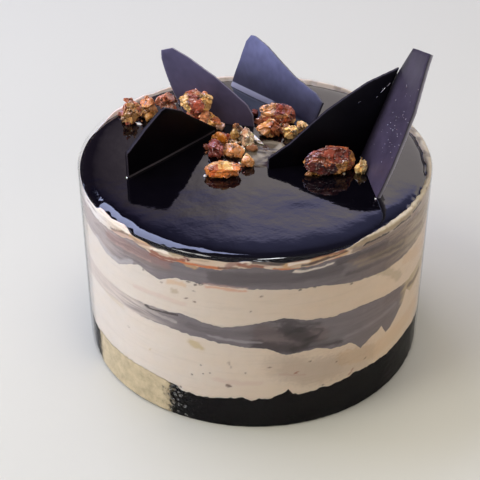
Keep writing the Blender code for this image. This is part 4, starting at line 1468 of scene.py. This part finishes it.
def build_lights():
    """A cool window at the left, a high one behind it, and a soft, warmer room."""
    for name, values in LAMPS.items():
        area_light(name, *values)
    world = bpy.data.worlds.new("room")
    world.use_nodes = True
    tree = world.node_tree
    direction = add_node(tree, "ShaderNodeTexCoord").outputs["Generated"]
    parts = add_node(tree, "ShaderNodeSeparateXYZ", {"Vector": direction}).outputs
    across = add_node(tree, "ShaderNodeMath", {0: parts["X"], 1: 2.2}, operation="MULTIPLY").outputs[0]
    across = add_node(tree, "ShaderNodeMath", {0: across, 1: 0.5}, operation="ADD").outputs[0]
    behind = ramp_node(tree, across, ROOM_ACROSS)
    behind = mix_colour(tree, 1.0, behind, ramp_node(tree, parts["Z"], ROOM_UPWARD), "MULTIPLY")
    depth = ramp_node(tree, parts["Y"], [(0.0, 0.0), (0.45, 1.0)])
    colour = mix_colour(tree, depth, ROOM_BEFORE, behind)
    feed(tree, tree.nodes["Background"], {"Color": colour, "Strength": 1.0})
    bpy.context.scene.world = world


def build_camera():
    """The camera that sees the cake as it is shown."""
    data = bpy.data.cameras.new("camera")
    data.sensor_width = 36.0
    data.lens = CAMERA_LENS
    data.clip_start = 0.01
    camera = add_object("camera", data)
    camera.location = CAMERA_PLACE
    camera.rotation_mode = "QUATERNION"
    camera.rotation_quaternion = Vector(CAMERA_DIRECTION).to_track_quat("-Z", "Y")
    bpy.context.scene.camera = camera


def build_layers(marbled, glaze):
    """The layers from the base to the glaze."""
    cream = food_material("soft_cream", 0.42, 0.05, 0.35, 0.00012, 260.0)
    mousse = food_material("grey_mousse", 0.45, 0.12, 0.15, 0.00014, 300.0)
    sponge = food_material("dark_sponge", 0.6, 0.35, 0.0, 0.0006, 420.0, 0.04)
    sponge_top = edge_of(SPONGE_TOP, 1, 0.7)
    lower_bottom = edge_of(LOWER_MOUSSE_BOTTOM, 3, 0.45)
    lower_top = edge_of(LOWER_MOUSSE_TOP, 5, 0.35)
    upper_bottom = edge_of(UPPER_MOUSSE_BOTTOM, 7, 0.4)
    upper_top = edge_of(UPPER_MOUSSE_TOP, 9, 0.4)
    lower_tint = mousse_tint(LOWER_MOUSSE_STROKES, LOWER_SMEAR, (214, 200, 190), (206, 182, 140), 0.45)
    upper_tint = mousse_tint(UPPER_MOUSSE_STROKES, UPPER_SMEAR, (190, 176, 172), (204, 184, 154), 1.0)
    build_layer("base_sponge", np.zeros(COLUMNS), sponge_top, sponge, sponge_tint, 0.5)
    build_layer("cream_lower", sponge_top, lower_bottom, cream, cream_tint(LOWER_CREAM_STROKES))
    build_layer("mousse_lower", lower_bottom, lower_top, mousse, lower_tint)
    build_layer("cream_upper", lower_top, upper_bottom, cream, cream_tint(UPPER_CREAM_STROKES))
    build_layer("mousse_upper", upper_bottom, upper_top, mousse, upper_tint)
    seat = height_at(GLAZE_SEAT, AZIMUTHS) + waver(AZIMUTHS, 11, 90, 0.35)
    build_top(marbled, glaze, upper_top, seat)


def build_cake():
    """The whole cake, from its layers to the smallest crumbs."""
    marbled = food_material("marbled_cream", 0.32, 0.08, 0.2, 0.00010, 260.0)
    build_layers(marbled, glaze_material())
    film = film_material()
    build_film(film)
    build_film_end(film)
    build_fog()
    build_drops()
    sheens = {
        # The shards on this material carry painted sheen and light in their tint
        "soft": chocolate_material("painted_sheen_chocolate", 0.30),
        "none": chocolate_material("dark_chocolate", 0.08),
    }
    for seed, (name, spec) in enumerate(SHARDS.items()):
        build_shard(name, spec, sheens[spec["sheen"]], seed + 2.5)
    candied = pecan_material()
    for index, (name, spec) in enumerate(PECANS.items()):
        build_pecan(name, spec, index + FIRST_SEED, candied)
    build_bits_and_glints(candied)
    build_smear(food_material("caramel_syrup", 0.10, 0.15, 0.0, 0.00012, 220.0, 0.6))
    build_dust_and_glints(candied)


noise.seed_set(NOISE_SEED)
build_cake()
build_floor()
build_lights()
build_camera()
bpy.context.scene.view_settings.view_transform = "Standard"
